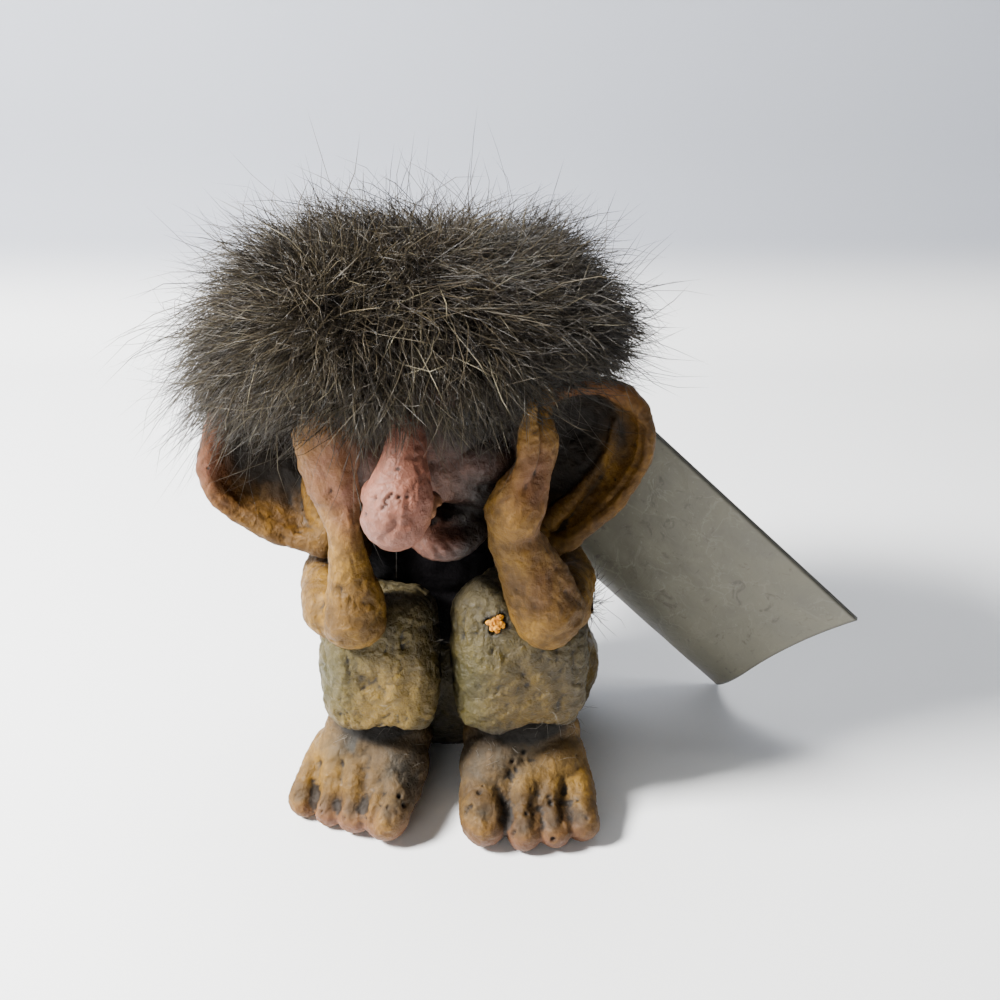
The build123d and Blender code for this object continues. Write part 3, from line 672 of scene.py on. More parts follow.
class Clay:
    """A form built up from overlapping lumps, fused into one skin, and then carved.

    Args:
        name: the piece's name.
        voxel: the size of the faces after the lumps are fused.
    """

    BIG_LUMP, BIG_BALL = 16, 2.5
    BOWL_RINGS = 7
    NEAR_ROUNDS, WIDE_ROUNDS = 5, 34
    # How wide and how dark the painted shade at the rim of a chip is.
    RIM_WIDE, RIM_DARK = 0.6, 0.9
    # How deep a pinhole is pressed, and how far round it the painted shade reaches.
    HOLE_DEPTH, HOLE_SOOT = 0.9, 1.2

    def __init__(self, name: str, voxel: float) -> None:
        """Start with no lumps."""
        self.name = name
        self.voxel = voxel
        self.form = bmesh.new()
        self.piece: bpy.types.Object | None = None
        self.points = np.zeros((0, 3))
        self.normals = np.zeros((0, 3))
        # Marks for the paint: tone holds creases, ridges and blush, and the next holds grey dust,
        # painted shade and gold
        self.tone = np.zeros((0, 4))
        self.stain = np.zeros((0, 4))
        self.sight: BVHTree | None = None

    def lump(self, centre: Place, sizes: Place, turn: Place = (0, 0, 0)) -> None:
        """Add an egg with these full sizes, turned by degrees."""
        spin = turned(turn).to_4x4()
        half = Matrix.Diagonal((sizes[0] / 2, sizes[1] / 2, sizes[2] / 2, 1))
        detail = 4 if max(sizes) > self.BIG_LUMP else 3
        matrix = Matrix.Translation(centre) @ spin @ half
        bmesh.ops.create_icosphere(self.form, subdivisions=detail, radius=1, matrix=matrix)

    def block(self, centre: Place, sizes: Place, turn: Place = (0, 0, 0), hard: float = 3.6) -> None:
        """Add a rounded block with these full sizes. The harder it is, the squarer."""
        spin = turned(turn)
        for vert in bmesh.ops.create_icosphere(self.form, subdivisions=5, radius=1)["verts"]:
            reach = sum(abs(part) ** hard for part in vert.co) ** (1 / hard)
            half = Vector([part / reach * size / 2 for part, size in zip(vert.co, sizes)])
            vert.co = spin @ half + Vector(centre)

    def limb(
        self, path: Sequence[Place], radii: Sequence[float], flat: Place = (1, 1, 1), steps: int = 7
    ) -> None:
        """Add a limb that swells and tapers along a smooth path.

        Args:
            path: the places that it goes through.
            radii: its radius at each.
            flat: how much of the radius it has along each axis.
            steps: balls for each stretch.
        """
        places = smooth_path([Vector(place) for place in path], steps)
        sizes = smooth_values(radii, steps)
        for place, radius in zip(places, sizes):
            half = Matrix.Diagonal((radius * flat[0], radius * flat[1], radius * flat[2], 1))
            detail = 3 if radius > self.BIG_BALL else 2
            matrix = Matrix.Translation(place) @ half
            bmesh.ops.create_icosphere(self.form, subdivisions=detail, radius=1, matrix=matrix)

    def bowl(self, rim: list[Place], centre: Place, depth: float, wall: float) -> None:
        """Add a bowl that opens to -Y inside a rim.

        Args:
            rim: places round the rim, in order.
            centre: the middle of the opening.
            depth: how deep the bowl is.
            wall: its thickness.
        """
        shell = bmesh.new()
        corners = [shell.verts.new(place) for place in rim]
        edges = [shell.edges.new(pair) for pair in zip(corners, corners[1:] + corners[:1])]
        middle = Vector(centre)
        share_before = 1.0
        for ring in range(1, self.BOWL_RINGS):
            share = math.cos(math.pi / 2 * ring / self.BOWL_RINGS)
            fresh, edges = extrude(shell, edges)
            drop = depth * (math.sqrt(1 - share**2) - math.sqrt(max(1 - share_before**2, 0)))
            for vert in fresh:
                away = vert.co - middle
                vert.co.x = middle.x + away.x * share / share_before
                vert.co.z = middle.z + away.z * share / share_before
                vert.co.y += drop
            share_before = share
        bmesh.ops.holes_fill(shell, edges=edges)
        bmesh.ops.recalc_face_normals(shell, faces=shell.faces[:])
        bmesh.ops.solidify(shell, geom=shell.faces[:], thickness=wall)
        mesh = mesh_of(shell, "bowl")
        self.form.from_mesh(mesh)
        bpy.data.meshes.remove(mesh)

    def fuse(self, smooth: int = 6, factor: float = 0.5) -> None:
        """Fuse the lumps into one skin and soften where they meet."""
        self.piece = add_object(self.name, mesh_of(self.form, self.name))
        remesh = self.piece.modifiers.new("fuse", "REMESH")
        remesh.mode = "VOXEL"
        remesh.voxel_size = self.voxel
        soften = self.piece.modifiers.new("soften", "SMOOTH")
        soften.factor = factor
        soften.iterations = smooth
        settle(self.piece)
        self._read()
        self.tone = np.zeros((len(self.points), 4))
        self.stain = np.zeros((len(self.points), 4))
        self.tone[:, 3] = self.stain[:, 3] = 1
        self.look()

    def _read(self) -> None:
        """Read the places and normals of the skin."""
        mesh = self.piece.data
        count = len(mesh.vertices)
        places = np.empty(count * 3)
        mesh.vertices.foreach_get("co", places)
        normals = np.empty(count * 3, np.float32)
        mesh.vertex_normals.foreach_get("vector", normals)
        self.points = places.reshape(-1, 3)
        self.normals = normals.reshape(-1, 3).astype(float)

    def write(self) -> None:
        """Write the places back and read the new normals."""
        mesh = self.piece.data
        mesh.vertices.foreach_set("co", self.points.ravel())
        mesh.update()
        self._read()

    def look(self) -> None:
        """Get ready to place marks as the camera sees them."""
        work = bmesh.new()
        work.from_mesh(self.piece.data)
        self.sight = BVHTree.FromBMesh(work)
        work.free()

    def seen(self, pixels: list[Pixel]) -> list[Vector]:
        """The places on the skin that the camera sees at these pixels, where it sees any."""
        places = []
        for pixel in pixels:
            hit = self.sight.ray_cast(Vector(SIGHT.eye), SIGHT.ray(pixel))[0]
            if hit is not None:
                places.append(hit)
        return places

    def near(self, places: list[Vector]) -> list[Vector]:
        """The places on the skin nearest to the given ones."""
        return [self.sight.find_nearest(place)[0] for place in places]

    def move(self, height: np.ndarray) -> None:
        """Move the skin along its normals by a height for each point."""
        self.points = self.points + self.normals * height[:, None]
        self.write()

    def crease(self, path: list[Vector], width: float, height: float, dark: float = 0.0) -> None:
        """Raise, or with a negative height cut, a soft line, and darken it with a dark wash and painted
        shade.
        """
        if len(path) < 2:
            return
        share = np.exp(-((distance_to_path(self.points, smooth_path(path, 4)) / width) ** 2))
        self.move(height * share)
        if dark:
            self.tone[:, 0] = np.maximum(self.tone[:, 0], dark * share)

    def creases(self, lines: list[list[Pixel]], width: float, height: float, dark: float = 0.0) -> None:
        """Cut or raise several lines marked as the camera sees them."""
        for line in lines:
            self.crease(self.seen(line), width, height, dark)

    def dab(self, place: Vector, radius: float, height: float) -> None:
        """Raise or press a soft round place."""
        share = np.exp(-((np.linalg.norm(self.points - np.array(place), axis=1) / radius) ** 2))
        self.move(height * share)

    def push(self, place: Place, sizes: Place, shift: Place) -> None:
        """Shift the skin near a place, with a soft edge."""
        share = nearness(self.points, place, sizes)
        self.points = self.points + share[:, None] * np.array(shift)
        self.write()

    def paint(self, mark: Mark, place: Place, sizes: Place, amount: float) -> None:
        """Paint a soft patch of a mark, which is even in its middle."""
        share = np.clip(1.3 * nearness(self.points, place, sizes), 0, 1)
        layer, channel = mark.value
        values = getattr(self, layer)
        values[:, channel] = np.clip(values[:, channel] + amount * share, 0, 1)

    def rough(self, scale: float, amount: float, seed: float, octaves: int = 4) -> None:
        """Pebble the skin with a noise of this scale and height."""
        spots = noise_spots(self.points / scale, seed)
        self.move(amount * np.array([noise.fractal(spot, 1.0, 2.0, octaves) for spot in spots]))

    def wrinkle(self, scale: Place, amount: float, seed: float, share: float = 0.5) -> None:
        """Cut patches of wrinkles, which run along the longest of the three scales."""
        fine = noise_spots(self.points / np.array(scale), seed)
        broad = noise_spots(self.points / (max(scale) * 1.5), -seed)
        line = np.clip(1 - np.abs([noise.noise(spot) for spot in fine]) * 3.2, 0, 1) ** 2
        patch = np.clip((np.array([noise.noise(spot) for spot in broad]) + share - 0.5) * 4, 0, 1)
        self.move(-amount * line * patch)

    def pit(self, count: int, radius: float, depth: float, seed: int) -> None:
        """Press small pits at random places."""
        rng = np.random.default_rng(seed)
        for index in rng.integers(0, len(self.points), count):
            size = radius * rng.uniform(0.6, 1.4)
            self.dab(Vector(self.points[index]), size, -depth * rng.uniform(0.4, 1.2))

    def hollow(self, outline: list[Pixel], depth: float) -> None:
        """Break the skin away inside an outline that the camera sees, and darken its edge with painted
        shade.
        """
        spots = SIGHT.pixels(self.points)
        inside = np.zeros(len(spots), bool)
        for (x1, y1), (x2, y2) in zip(outline, outline[1:] + outline[:1]):
            crosses = (y1 > spots[:, 1]) != (y2 > spots[:, 1])
            limit = (x2 - x1) * (spots[:, 1] - y1) / ((y2 - y1) or 1e-9) + x1
            inside ^= crosses & (spots[:, 0] < limit)
        inside &= (np.array(SIGHT.eye) - self.points)[:, 1] * self.normals[:, 1] > 0
        self.move(np.where(inside, -depth, 0.0))
        rim = distance_to_path(self.points, self.seen(outline + outline[:1]))
        dark = np.exp(-((rim / self.RIM_WIDE) ** 2)) * self.RIM_DARK
        self.tone[:, 0] = np.maximum(self.tone[:, 0], dark)

    def pinholes(self, pixels: list[Pixel], radius: float = 0.38) -> None:
        """Press small holes where the camera sees these pixels, darkened round them with painted shade.
        """
        for place in self.seen(pixels):
            self.dab(place, radius, -self.HOLE_DEPTH)
            for mark in (Mark.CREASE, Mark.SHADE):
                self.paint(mark, tuple(place), (radius * self.HOLE_SOOT,) * 3, 1.0)

    def floor(self, level: float = 0.0) -> None:
        """Flatten what would reach below the ground."""
        low = self.points[:, 2] < level
        self.points[low, 2] = level
        self.write()

    def _hollows(self, rounds: int) -> np.ndarray:
        """How far each point lies below the mean of its surroundings, along its normal."""
        mesh = self.piece.data
        pairs = np.empty(len(mesh.edges) * 2, int)
        mesh.edges.foreach_get("vertices", pairs)
        first, second = pairs[::2], pairs[1::2]
        count = np.bincount(pairs, minlength=len(self.points))
        mean = self.points.copy()
        for _ in range(rounds):
            total = np.empty_like(mean)
            for axis in range(3):
                total[:, axis] = np.bincount(first, mean[second, axis], len(mean))
                total[:, axis] += np.bincount(second, mean[first, axis], len(mean))
            mean = total / np.maximum(count, 1)[:, None]
        return np.einsum("ij,ij->i", mean - self.points, self.normals)

    def weather(self, fine: float = 0.2, broad: float = 0.7) -> None:
        """Find the creases and ridges and keep them for the paint: the creases get a dark wash
        together with painted shade, and the ridges are lighter where worn.
        """
        close, wide = self._hollows(self.NEAR_ROUNDS), self._hollows(self.WIDE_ROUNDS)
        crease = np.clip(close / fine, 0, 1) * 0.75 + np.clip(wide / broad, 0, 1) * 0.45
        ridge = np.clip(-close / fine, 0, 1) * 0.7 + np.clip(-wide / broad, 0, 1) * 0.5
        self.tone[:, 0] = np.clip(np.maximum(self.tone[:, 0], crease), 0, 1)
        self.tone[:, 1] = np.clip(ridge, 0, 1)

    def finish(self, material: bpy.types.Material, slot: str, *nodes: str) -> bpy.types.Object:
        """Turn the piece into metres, dress it and set it on the figure's body.

        Args:
            material: its finish.
            slot: the name of a material slot; not used.
            nodes: the construction pieces that it stands for.

        Returns:
            The finished object.
        """
        mesh = self.piece.data
        mesh.vertices.foreach_set("co", (self.points * METRES_PER_MM).ravel())
        for name, values in (("tone", self.tone), ("stain", self.stain)):
            keep_colours(mesh, name, values)
        mesh.materials.clear()
        mesh.materials.append(material)
        mesh.shade_smooth()
        mesh.update()
        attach(self.piece, FIGURE)
        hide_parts(*nodes)
        LOG.info("%s: %d faces", self.name, len(mesh.polygons))
        return self.piece


# Feet


@dataclass
class Foot:
    """One splayed foot with four blunt toes.

    Args:
        side: whose foot it is.
        out: how far the ankle lies from the middle.
        splay: how far the foot turns outwards, in degrees.
        toes: how far out each toe lies, how far forward it reaches, and its radius.
        clefts: lines between the toes as the camera sees them.
        nails: the middles of the toenails as the camera sees them.
        holes: pinholes as the camera sees them.
        fuzz: where loose curls lie, how many, and how long.
        inset: how much narrower the foot is on its inner side.
        ankle_forward: how far the ankle lies in front of the middle.
        nail_turns: where the rim of a nail is marked, from its left round its top.
        voxel: the size of the faces of the skin.
    """

    side: Side
    out: float
    splay: float
    toes: list[tuple[float, float, float]]
    clefts: list[list[Pixel]]
    nails: list[Pixel]
    holes: list[Pixel]
    fuzz: list[Fuzz]
    inset: float = 0.0
    ankle_forward: float = 18.5
    nail_turns: tuple[float, ...] = (0.2, 0.9, 1.57, 2.2, 2.9)
    voxel: float = 0.28

    def _place(self, across: float, forward: float, rise: float) -> Place:
        """A place on the foot, from the ankle and along its splay."""
        sign = self.side.value
        turn = math.radians(sign * self.splay)
        x, y = sign * across, -forward
        return (
            sign * self.out + x * math.cos(turn) - y * math.sin(turn),
            -self.ankle_forward + x * math.sin(turn) + y * math.cos(turn),
            rise,
        )

    def build(self, finishes: Finishes) -> bpy.types.Object:
        """Model and dress the foot."""
        name, sign = f"{self.side.word}_foot", self.side.value
        clay = Clay(name, self.voxel)
        turn = (0, 0, sign * self.splay)
        long = max(reach for _, reach, _ in self.toes) / 16
        for egg in (
            (self._place(0.6, -4.5, 6.5), (16.5, 14, 16), turn),
            (self._place(self.inset / 2, 1.5 * long, 10.6), (22.0 - self.inset, 17, 21.0), turn),
            (self._place(self.inset - 5.0, 5.5 * long, 7.6), (14.0, 15, 16.5), turn),
            (self._place(5.0, 5.0 * long, 7.2), (14.0, 15, 16.0), turn),
            (self._place(self.inset / 2, 8.5 * long, 5.6), (24.0 - self.inset, 15, 13.0), turn),
        ):
            clay.lump(*egg)
        for across, reach, size in self.toes:
            path = [
                self._place(across * 0.88, 4.0, 9.0),
                self._place(across * 0.96, reach * 0.62, 6.4),
                self._place(across, reach - size * 0.25, size * 1.12),
            ]
            clay.limb(path, [size * 0.98, size * 1.02, size], (1.0, 1.0, 1.12), steps=5)
        clay.fuse(smooth=4)
        clay.floor()
        clay.creases(self.clefts, 1.6, -0.80, 0.25)
        clay.creases(self.clefts, 0.60, -0.95, 1.0)
        for pixel in self.nails:
            for place in clay.seen([pixel]):
                clay.dab(place, 1.5, -0.55)
                clay.dab(place + Vector((0, 0.9, 2.6)), 1.5, 0.35)
                rim = [
                    place + Vector((1.7 * math.cos(turn), -0.3, 1.5 * math.sin(turn)))
                    for turn in self.nail_turns
                ]
                clay.crease(clay.near(rim), 0.42, -0.40, 0.9)
                clay.paint(Mark.DUST, tuple(place), (1.8, 1.8, 1.5), 0.75)
        clay.wrinkle((2.4, 6.0, 4.0), 0.14, 3.0 + sign)
        clay.rough(6.0, 0.36, 11.0 + sign)
        clay.rough(0.9, 0.08, 13.0 + sign)
        clay.pit(16, 0.4, 0.25, 3)
        clay.pinholes(self.holes)
        clay.floor()
        for patch in (
            (Mark.SHADE, self._place(0, 6.0, 18.6), (15, 10, 2.4), 1.0),
            (Mark.SHADE, self._place(0, 9.0, 16.6), (14, 4, 1.8), 0.75),
            (Mark.DUST, self._place(-3.0, 7.5, 14.0), (12, 6, 5.0), 1.0),
            (Mark.DUST, self._place(-8.0, 11.0, 8.0), (5, 6, 5), 0.7),
            (Mark.SHADE, self._place(0, -6.0, 6.0), (13, 5, 10), 0.6),
            (Mark.SHADE, self._place(-11.5, 2.0, 8.0), (4, 12, 9), 0.45),
            (Mark.GOLD, self._place(5.0, 9.0, 9.0), (7, 5, 5), 0.40),
            (Mark.BLUSH, self._place(0, 17.0 * long, 1.2), (15, 6, 4.2), 0.9),
            (Mark.SHADE, self._place(0, 13.0 * long, 7.5), (13, 3.5, 3.0), 0.28),
        ):
            clay.paint(*patch)
        if self.side is Side.LEFT:
            clay.paint(Mark.SHADE, self._place(2, 16.0 * long, 5.0), (15, 7, 7), 0.30)
        clay.weather(0.16, 0.8)
        foot = clay.finish(finishes.skin, "skin", name)
        lint(clay, f"{name}_lint", self.fuzz, finishes)
        return foot


RIGHT_TOES = [(-5.5, 16.2, 4.4), (0.2, 16.2, 3.5), (5.4, 15.6, 3.1), (10.6, 14.4, 3.0)]
LEFT_TOES = [(-7.6, 18.0, 4.6), (-0.7, 19.6, 3.5), (4.6, 19.4, 3.2), (9.6, 18.0, 3.2)]
RIGHT_CLEFTS = [
    [(318, 764), (315, 782), (312, 805), (314, 824)],
    [(341, 764), (339, 782), (336, 808), (339, 833)],
    [(366, 760), (364, 782), (361, 808), (364, 836)],
    [(382, 790), (376, 806), (371, 822)],
]
LEFT_CLEFTS = [
    [(511, 775), (509, 795), (506, 820), (502, 850)],
    [(540, 784), (538, 800), (536, 825), (537, 854)],
    [(567, 780), (566, 800), (564, 825), (566, 850)],
    [(468, 815), (480, 822), (492, 820)],
]
RIGHT_HOLES = [
    (334, 801), (336, 800), (331, 802), (343, 819), (400, 796), (404, 805), (321, 812), (388, 808),
]
LEFT_HOLES = [
    (466, 809), (464, 813), (470, 806), (479, 792), (511, 836), (513, 832), (528, 813), (531, 821),
    (549, 797), (551, 803), (576, 799), (513, 762), (516, 770), (524, 753), (553, 840), (575, 818),
    (507, 816),
]
RIGHT_NAILS = [(299, 795), (325, 806), (351, 809), (392, 812)]
LEFT_NAILS = [(485, 812), (522, 826), (552, 822), (578, 818)]
RIGHT_FOOT_FUZZ = [((345, 738), 40, 4.5), ((395, 745), 40, 4.5), ((412, 785), 6, 7.0)]
LEFT_FOOT_FUZZ = [((490, 748), 40, 4.5), ((540, 745), 40, 4.5), ((470, 745), 8, 7.0)]


# Trousers, trunk and seat


CRUMBS, CRUMB_SEED = 90, 7
CRUMB_LEAST, CRUMB_MOST = 0.28, 0.62
FULL_TURN = 6.3


@dataclass
class TrouserLeg:
    """A trouser leg: a blocky shin with a hem, a rounded knee and a thigh to the hip.

    Args:
        side: whose leg it is.
        out: how far its middle lies from the figure's.
        wide: its width.
        top: the height of the knee.
        dents: folds as the camera sees them.
        fuzz: where loose curls lie, how many, and how long.
        chips: outlines of chips in the skin as the camera sees them.
        forward: how far its middle lies in front of the figure's.
        deep: its depth.
        hem: the height of its hem.
        voxel: the size of the faces of the skin.
    """

    side: Side
    out: float
    wide: float
    top: float
    dents: list[list[Pixel]]
    fuzz: list[Fuzz]
    chips: list[list[Pixel]] = field(default_factory=list)
    forward: float = 21.0
    deep: float = 20.0
    hem: float = 19.8
    voxel: float = 0.34

    def build(self, finishes: Finishes) -> bpy.types.Object:
        """Model and dress the trouser leg."""
        sign = self.side.value
        x, y = sign * self.out, -self.forward
        clay = Clay(f"{self.side.word}_trouser_leg", self.voxel)
        high = self.top - self.hem
        shin = (self.wide, self.deep, high * 0.98)
        knee = (self.wide * 0.97, self.deep * 0.96, high * 0.80)
        cap = (self.wide * 0.6, self.deep * 0.6, high * 0.42)
        clay.block((x, y, self.hem + high * 0.34), shin, (0, 0, sign * 4))
        clay.block((x, y + 0.6, self.hem + high * 0.56), knee, (-9, 0, sign * 7), 3.0)
        clay.lump((x - sign * self.wide * 0.16, y - 1.2, self.hem + high * 0.80), cap)
        clay.limb(
            [(x, y + 2, self.hem + high * 0.6), (sign * 13.0, -8.0, 27.0), (sign * 13.0, 3.0, 18.0)],
            [self.wide * 0.45, self.wide * 0.46, self.wide * 0.46],
            steps=6,
        )
        clay.fuse(smooth=5)
        hem = self.hem + 0.8 * np.sin(clay.points[:, 0] * 0.42 + sign) - 0.08 * (clay.points[:, 1] + 20)
        low = clay.points[:, 2] < hem
        clay.points[low, 2] = hem[low] + (clay.points[low, 2] - hem[low]) * 0.10
        clay.write()
        clay.look()
        clay.creases(self.dents, 1.3, -0.55, 0.30)
        clay.rough(9.0, 0.75, 17.0 + sign)
        clay.wrinkle((5.0, 5.0, 8.0), 0.42, 5.0 + sign, 0.6)
        clay.wrinkle((2.2, 2.2, 3.4), 0.30, 9.0 + sign, 0.6)
        clay.rough(2.0, 0.22, 27.0 + sign)
        clay.rough(0.9, 0.06, 29.0 + sign)
        for patch in (
            (Mark.DUST, (x, y + 1, self.top), (self.wide * 0.7, 9, 8), 0.95),
            (Mark.DUST, (sign * 16, -6, 34), (12, 9, 9), 0.6),
            (Mark.SHADE, (x - sign * self.wide * 0.55, y + 4, 28), (4, 12, 16), 0.75),
            (Mark.SHADE, (x, y - 8, self.hem - 0.6), (self.wide, 12, 1.6), 0.6),
            (Mark.GOLD, (x + 1, y - 9, 27), (8, 6, 8), 0.60),
            (Mark.GOLD, (x + sign * 5, y - 6, 21), (7, 6, 4), 0.35),
            (Mark.BLUSH, (x - 7, y - 7, 28), (5, 7, 9), 0.8),
        ):
            clay.paint(*patch)
        if self.side is Side.LEFT:
            clay.paint(Mark.SHADE, (x + 3, y - 7, 28), (14, 9, 14), 0.44)
        clay.weather(0.20, 0.9)
        for outline in self.chips:
            clay.hollow(outline, 1.3)
        word = self.side.word
        leg = clay.finish(finishes.trousers, "trousers", f"{word}_trouser_leg", f"{word}_leg_foam")
        for outline in self.chips:
            self._crumbs(clay, outline, finishes)
        lint(clay, f"{word}_knee_lint", self.fuzz, finishes)
        return leg

    def _crumbs(self, clay: Clay, outline: list[Pixel], finishes: Finishes) -> bpy.types.Object:
        """Fill a chip in the skin with crumbs of the foam below."""
        rng = np.random.default_rng(CRUMB_SEED)
        corners = np.array(outline)
        crumbs = bmesh.new()
        for _ in range(CRUMBS):
            share = rng.dirichlet(np.ones(len(corners)) * 0.55)
            for place in clay.seen([tuple(share @ corners)]):
                size = rng.uniform(CRUMB_LEAST, CRUMB_MOST)
                spin = Euler(rng.uniform(0, FULL_TURN, 3)).to_matrix().to_4x4()
                wide, high = size * rng.uniform(0.6, 1), size * rng.uniform(0.6, 1)
                stretch = Matrix.Diagonal((size, wide, high, 1))
                lifted = place + Vector((0, -0.6, 0.6)) * rng.uniform(-0.3, 1.0)
                matrix = Matrix.Translation(lifted) @ spin @ stretch
                bmesh.ops.create_icosphere(crumbs, subdivisions=1, radius=1, matrix=matrix)
        mesh = mesh_of(crumbs, "knee_crumbs")
        mesh.transform(Matrix.Scale(METRES_PER_MM, 4))
        mesh.materials.append(finishes.foam)
        piece = add_object("knee_crumbs", mesh)
        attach(piece, FIGURE)
        return piece


@dataclass
class Trunk:
    """The seat of the trousers and the hunched trunk above it."""

    voxel: float = 0.6

    def build_seat(self, finishes: Finishes) -> bpy.types.Object:
        """Model and dress the seat."""
        clay = Clay("trouser_seat", self.voxel)
        for egg in (
            ((2.4, 0.0, 13.0), (54.0, 32.0, 33.0)),
            ((-11.0, 2.0, 12.0), (28.0, 28.0, 26.0)),
            ((16.0, 2.0, 12.0), (28.0, 28.0, 26.0)),
        ):
            clay.lump(*egg)
        clay.fuse(smooth=6)
        clay.wrinkle((5.0, 5.0, 7.0), 0.4, 4.0)
        clay.rough(5.0, 0.7, 31.0)
        clay.rough(1.5, 0.16, 37.0)
        clay.floor()
        for patch in (
            (Mark.GOLD, (27, -4, 17), (8, 9, 9), 0.5),
            (Mark.GOLD, (-23, -4, 17), (8, 9, 9), 0.5),
            (Mark.SHADE, (2, -14, 6), (16, 8, 12), 0.8),
        ):
            clay.paint(*patch)
        clay.weather(0.20, 1.0)
        return clay.finish(finishes.trousers, "trousers", "trouser_seat")

    def build_trunk(self, finishes: Finishes) -> bpy.types.Object:
        """Model and dress the trunk."""
        clay = Clay("trunk_skin", self.voxel)
        for egg in (
            ((0.4, 1.6, 32.0), (39.0, 29.5, 28.0)),
            ((0.4, 1.4, 42.0), (38.0, 29.0, 26.0)),
            ((0.2, -1.0, 54.0), (27.0, 21.0, 22.0)),
        ):
            clay.lump(*egg)
        clay.fuse(smooth=7)
        clay.wrinkle((9.0, 9.0, 5.0), 0.5, 8.0)
        clay.rough(4.0, 0.5, 41.0)
        # The trunk is near black as painted shade, and its front gets more painted shade.
        clay.paint(Mark.SHADE, (0, -12, 42), (20, 14, 20), 1.0)
        clay.weather(0.20, 1.0)
        return clay.finish(finishes.shirt, "trousers", "trunk_skin")


# Arms


@dataclass
class Arm:
    """An arm that stands on its knee and props the head in its hand.

    Args:
        side: whose arm it is.
        forearm, upper, hand: the outline of each part as the camera sees it.
        hand_flat: how much of the hand's radius it has along each axis.
        fingers: each finger's path and radii.
        tendons, folds: ridges and folds as the camera sees them.
        blush, shade: painted patches, with their place, sizes and amount.
        shoulder: where the upper arm ends.
        shoulder_radius: its radius there.
        voxel: the size of the faces of the skin.
    """

    side: Side
    forearm: list[Row]
    upper: list[Row]
    hand: list[Row]
    hand_flat: Place
    fingers: list[tuple[list[Place], list[float]]]
    tendons: list[list[Pixel]]
    folds: list[list[Pixel]]
    blush: list[tuple[Place, Place, float]]
    shade: list[tuple[Place, Place, float]]
    shoulder: Place
    shoulder_radius: float = 6.0
    voxel: float = 0.30

    def build(self, finishes: Finishes) -> bpy.types.Object:
        """Model and dress the arm with its hand."""
        clay = Clay(f"{self.side.word}_arm", self.voxel)
        clay.limb(*SIGHT.limb(self.forearm), (1.0, 0.94, 1.0), steps=9)
        path, radii = SIGHT.limb(self.upper)
        clay.limb(path + [self.shoulder], radii + [self.shoulder_radius], steps=9)
        clay.limb(*SIGHT.limb(self.hand), self.hand_flat, steps=9)
        for finger, sizes in self.fingers:
            clay.limb(finger, sizes)
        clay.fuse(smooth=4)
        clay.creases(self.tendons, 1.1, -0.28, 0.12)
        clay.creases(self.folds, 0.9, -0.40, 0.30)
        sign = self.side.value
        clay.wrinkle((1.6, 1.6, 4.4), 0.18, 6.0 + sign, 0.45)
        for scale, height, seed in ((7.0, 0.55, 51.0), (2.4, 0.14, 53.0), (0.9, 0.05, 57.0)):
            clay.rough(scale, height, seed + sign)
        clay.pit(24, 0.4, 0.20, 5)
        for centre, sizes, amount in self.blush:
            clay.paint(Mark.BLUSH, centre, sizes, amount)
        for centre, sizes, amount in self.shade:
            clay.paint(Mark.SHADE, centre, sizes, amount)
        clay.paint(Mark.SHADE, self.shoulder, (11, 12, 9), 0.8)
        clay.weather(0.18, 0.9)
        word = self.side.word
        nodes = (f"{word}_forearm", f"{word}_hand", f"{word}_upper_arm")
        return clay.finish(finishes.skin, "skin", *nodes)


# Head


FACE_LINES = [
    (
        [
            [(385, 470), (400, 462), (418, 458)], [(378, 484), (394, 478), (412, 476)],
            [(393, 452), (404, 447), (420, 446)], [(428, 478), (437, 492), (440, 508)],
            [(372, 500), (378, 512), (384, 520)],
        ],
        0.5, -0.22, 0.2,
    ),
    ([[(392, 502), (396, 516), (392, 530)], [(406, 498), (410, 512), (404, 526)]], 0.8, -0.22, 0.1),
    ([[(383, 541), (390, 532), (396, 524)]], 0.7, -0.35, 0.2),
    ([[(432, 520), (440, 512), (447, 516)]], 0.7, -1.1, 0.9),
    (
        [[(420, 545), (428, 556)], [(436, 548), (442, 558)], [(448, 545), (456, 553)]],
        0.5, -0.4, 0.35,
    ),
]
NOSE_HOLES = [
    (385, 500), (388, 497), (386, 504), (383, 508), (391, 494), (399, 497), (408, 497), (375, 498),
    (366, 514), (398, 469),
]


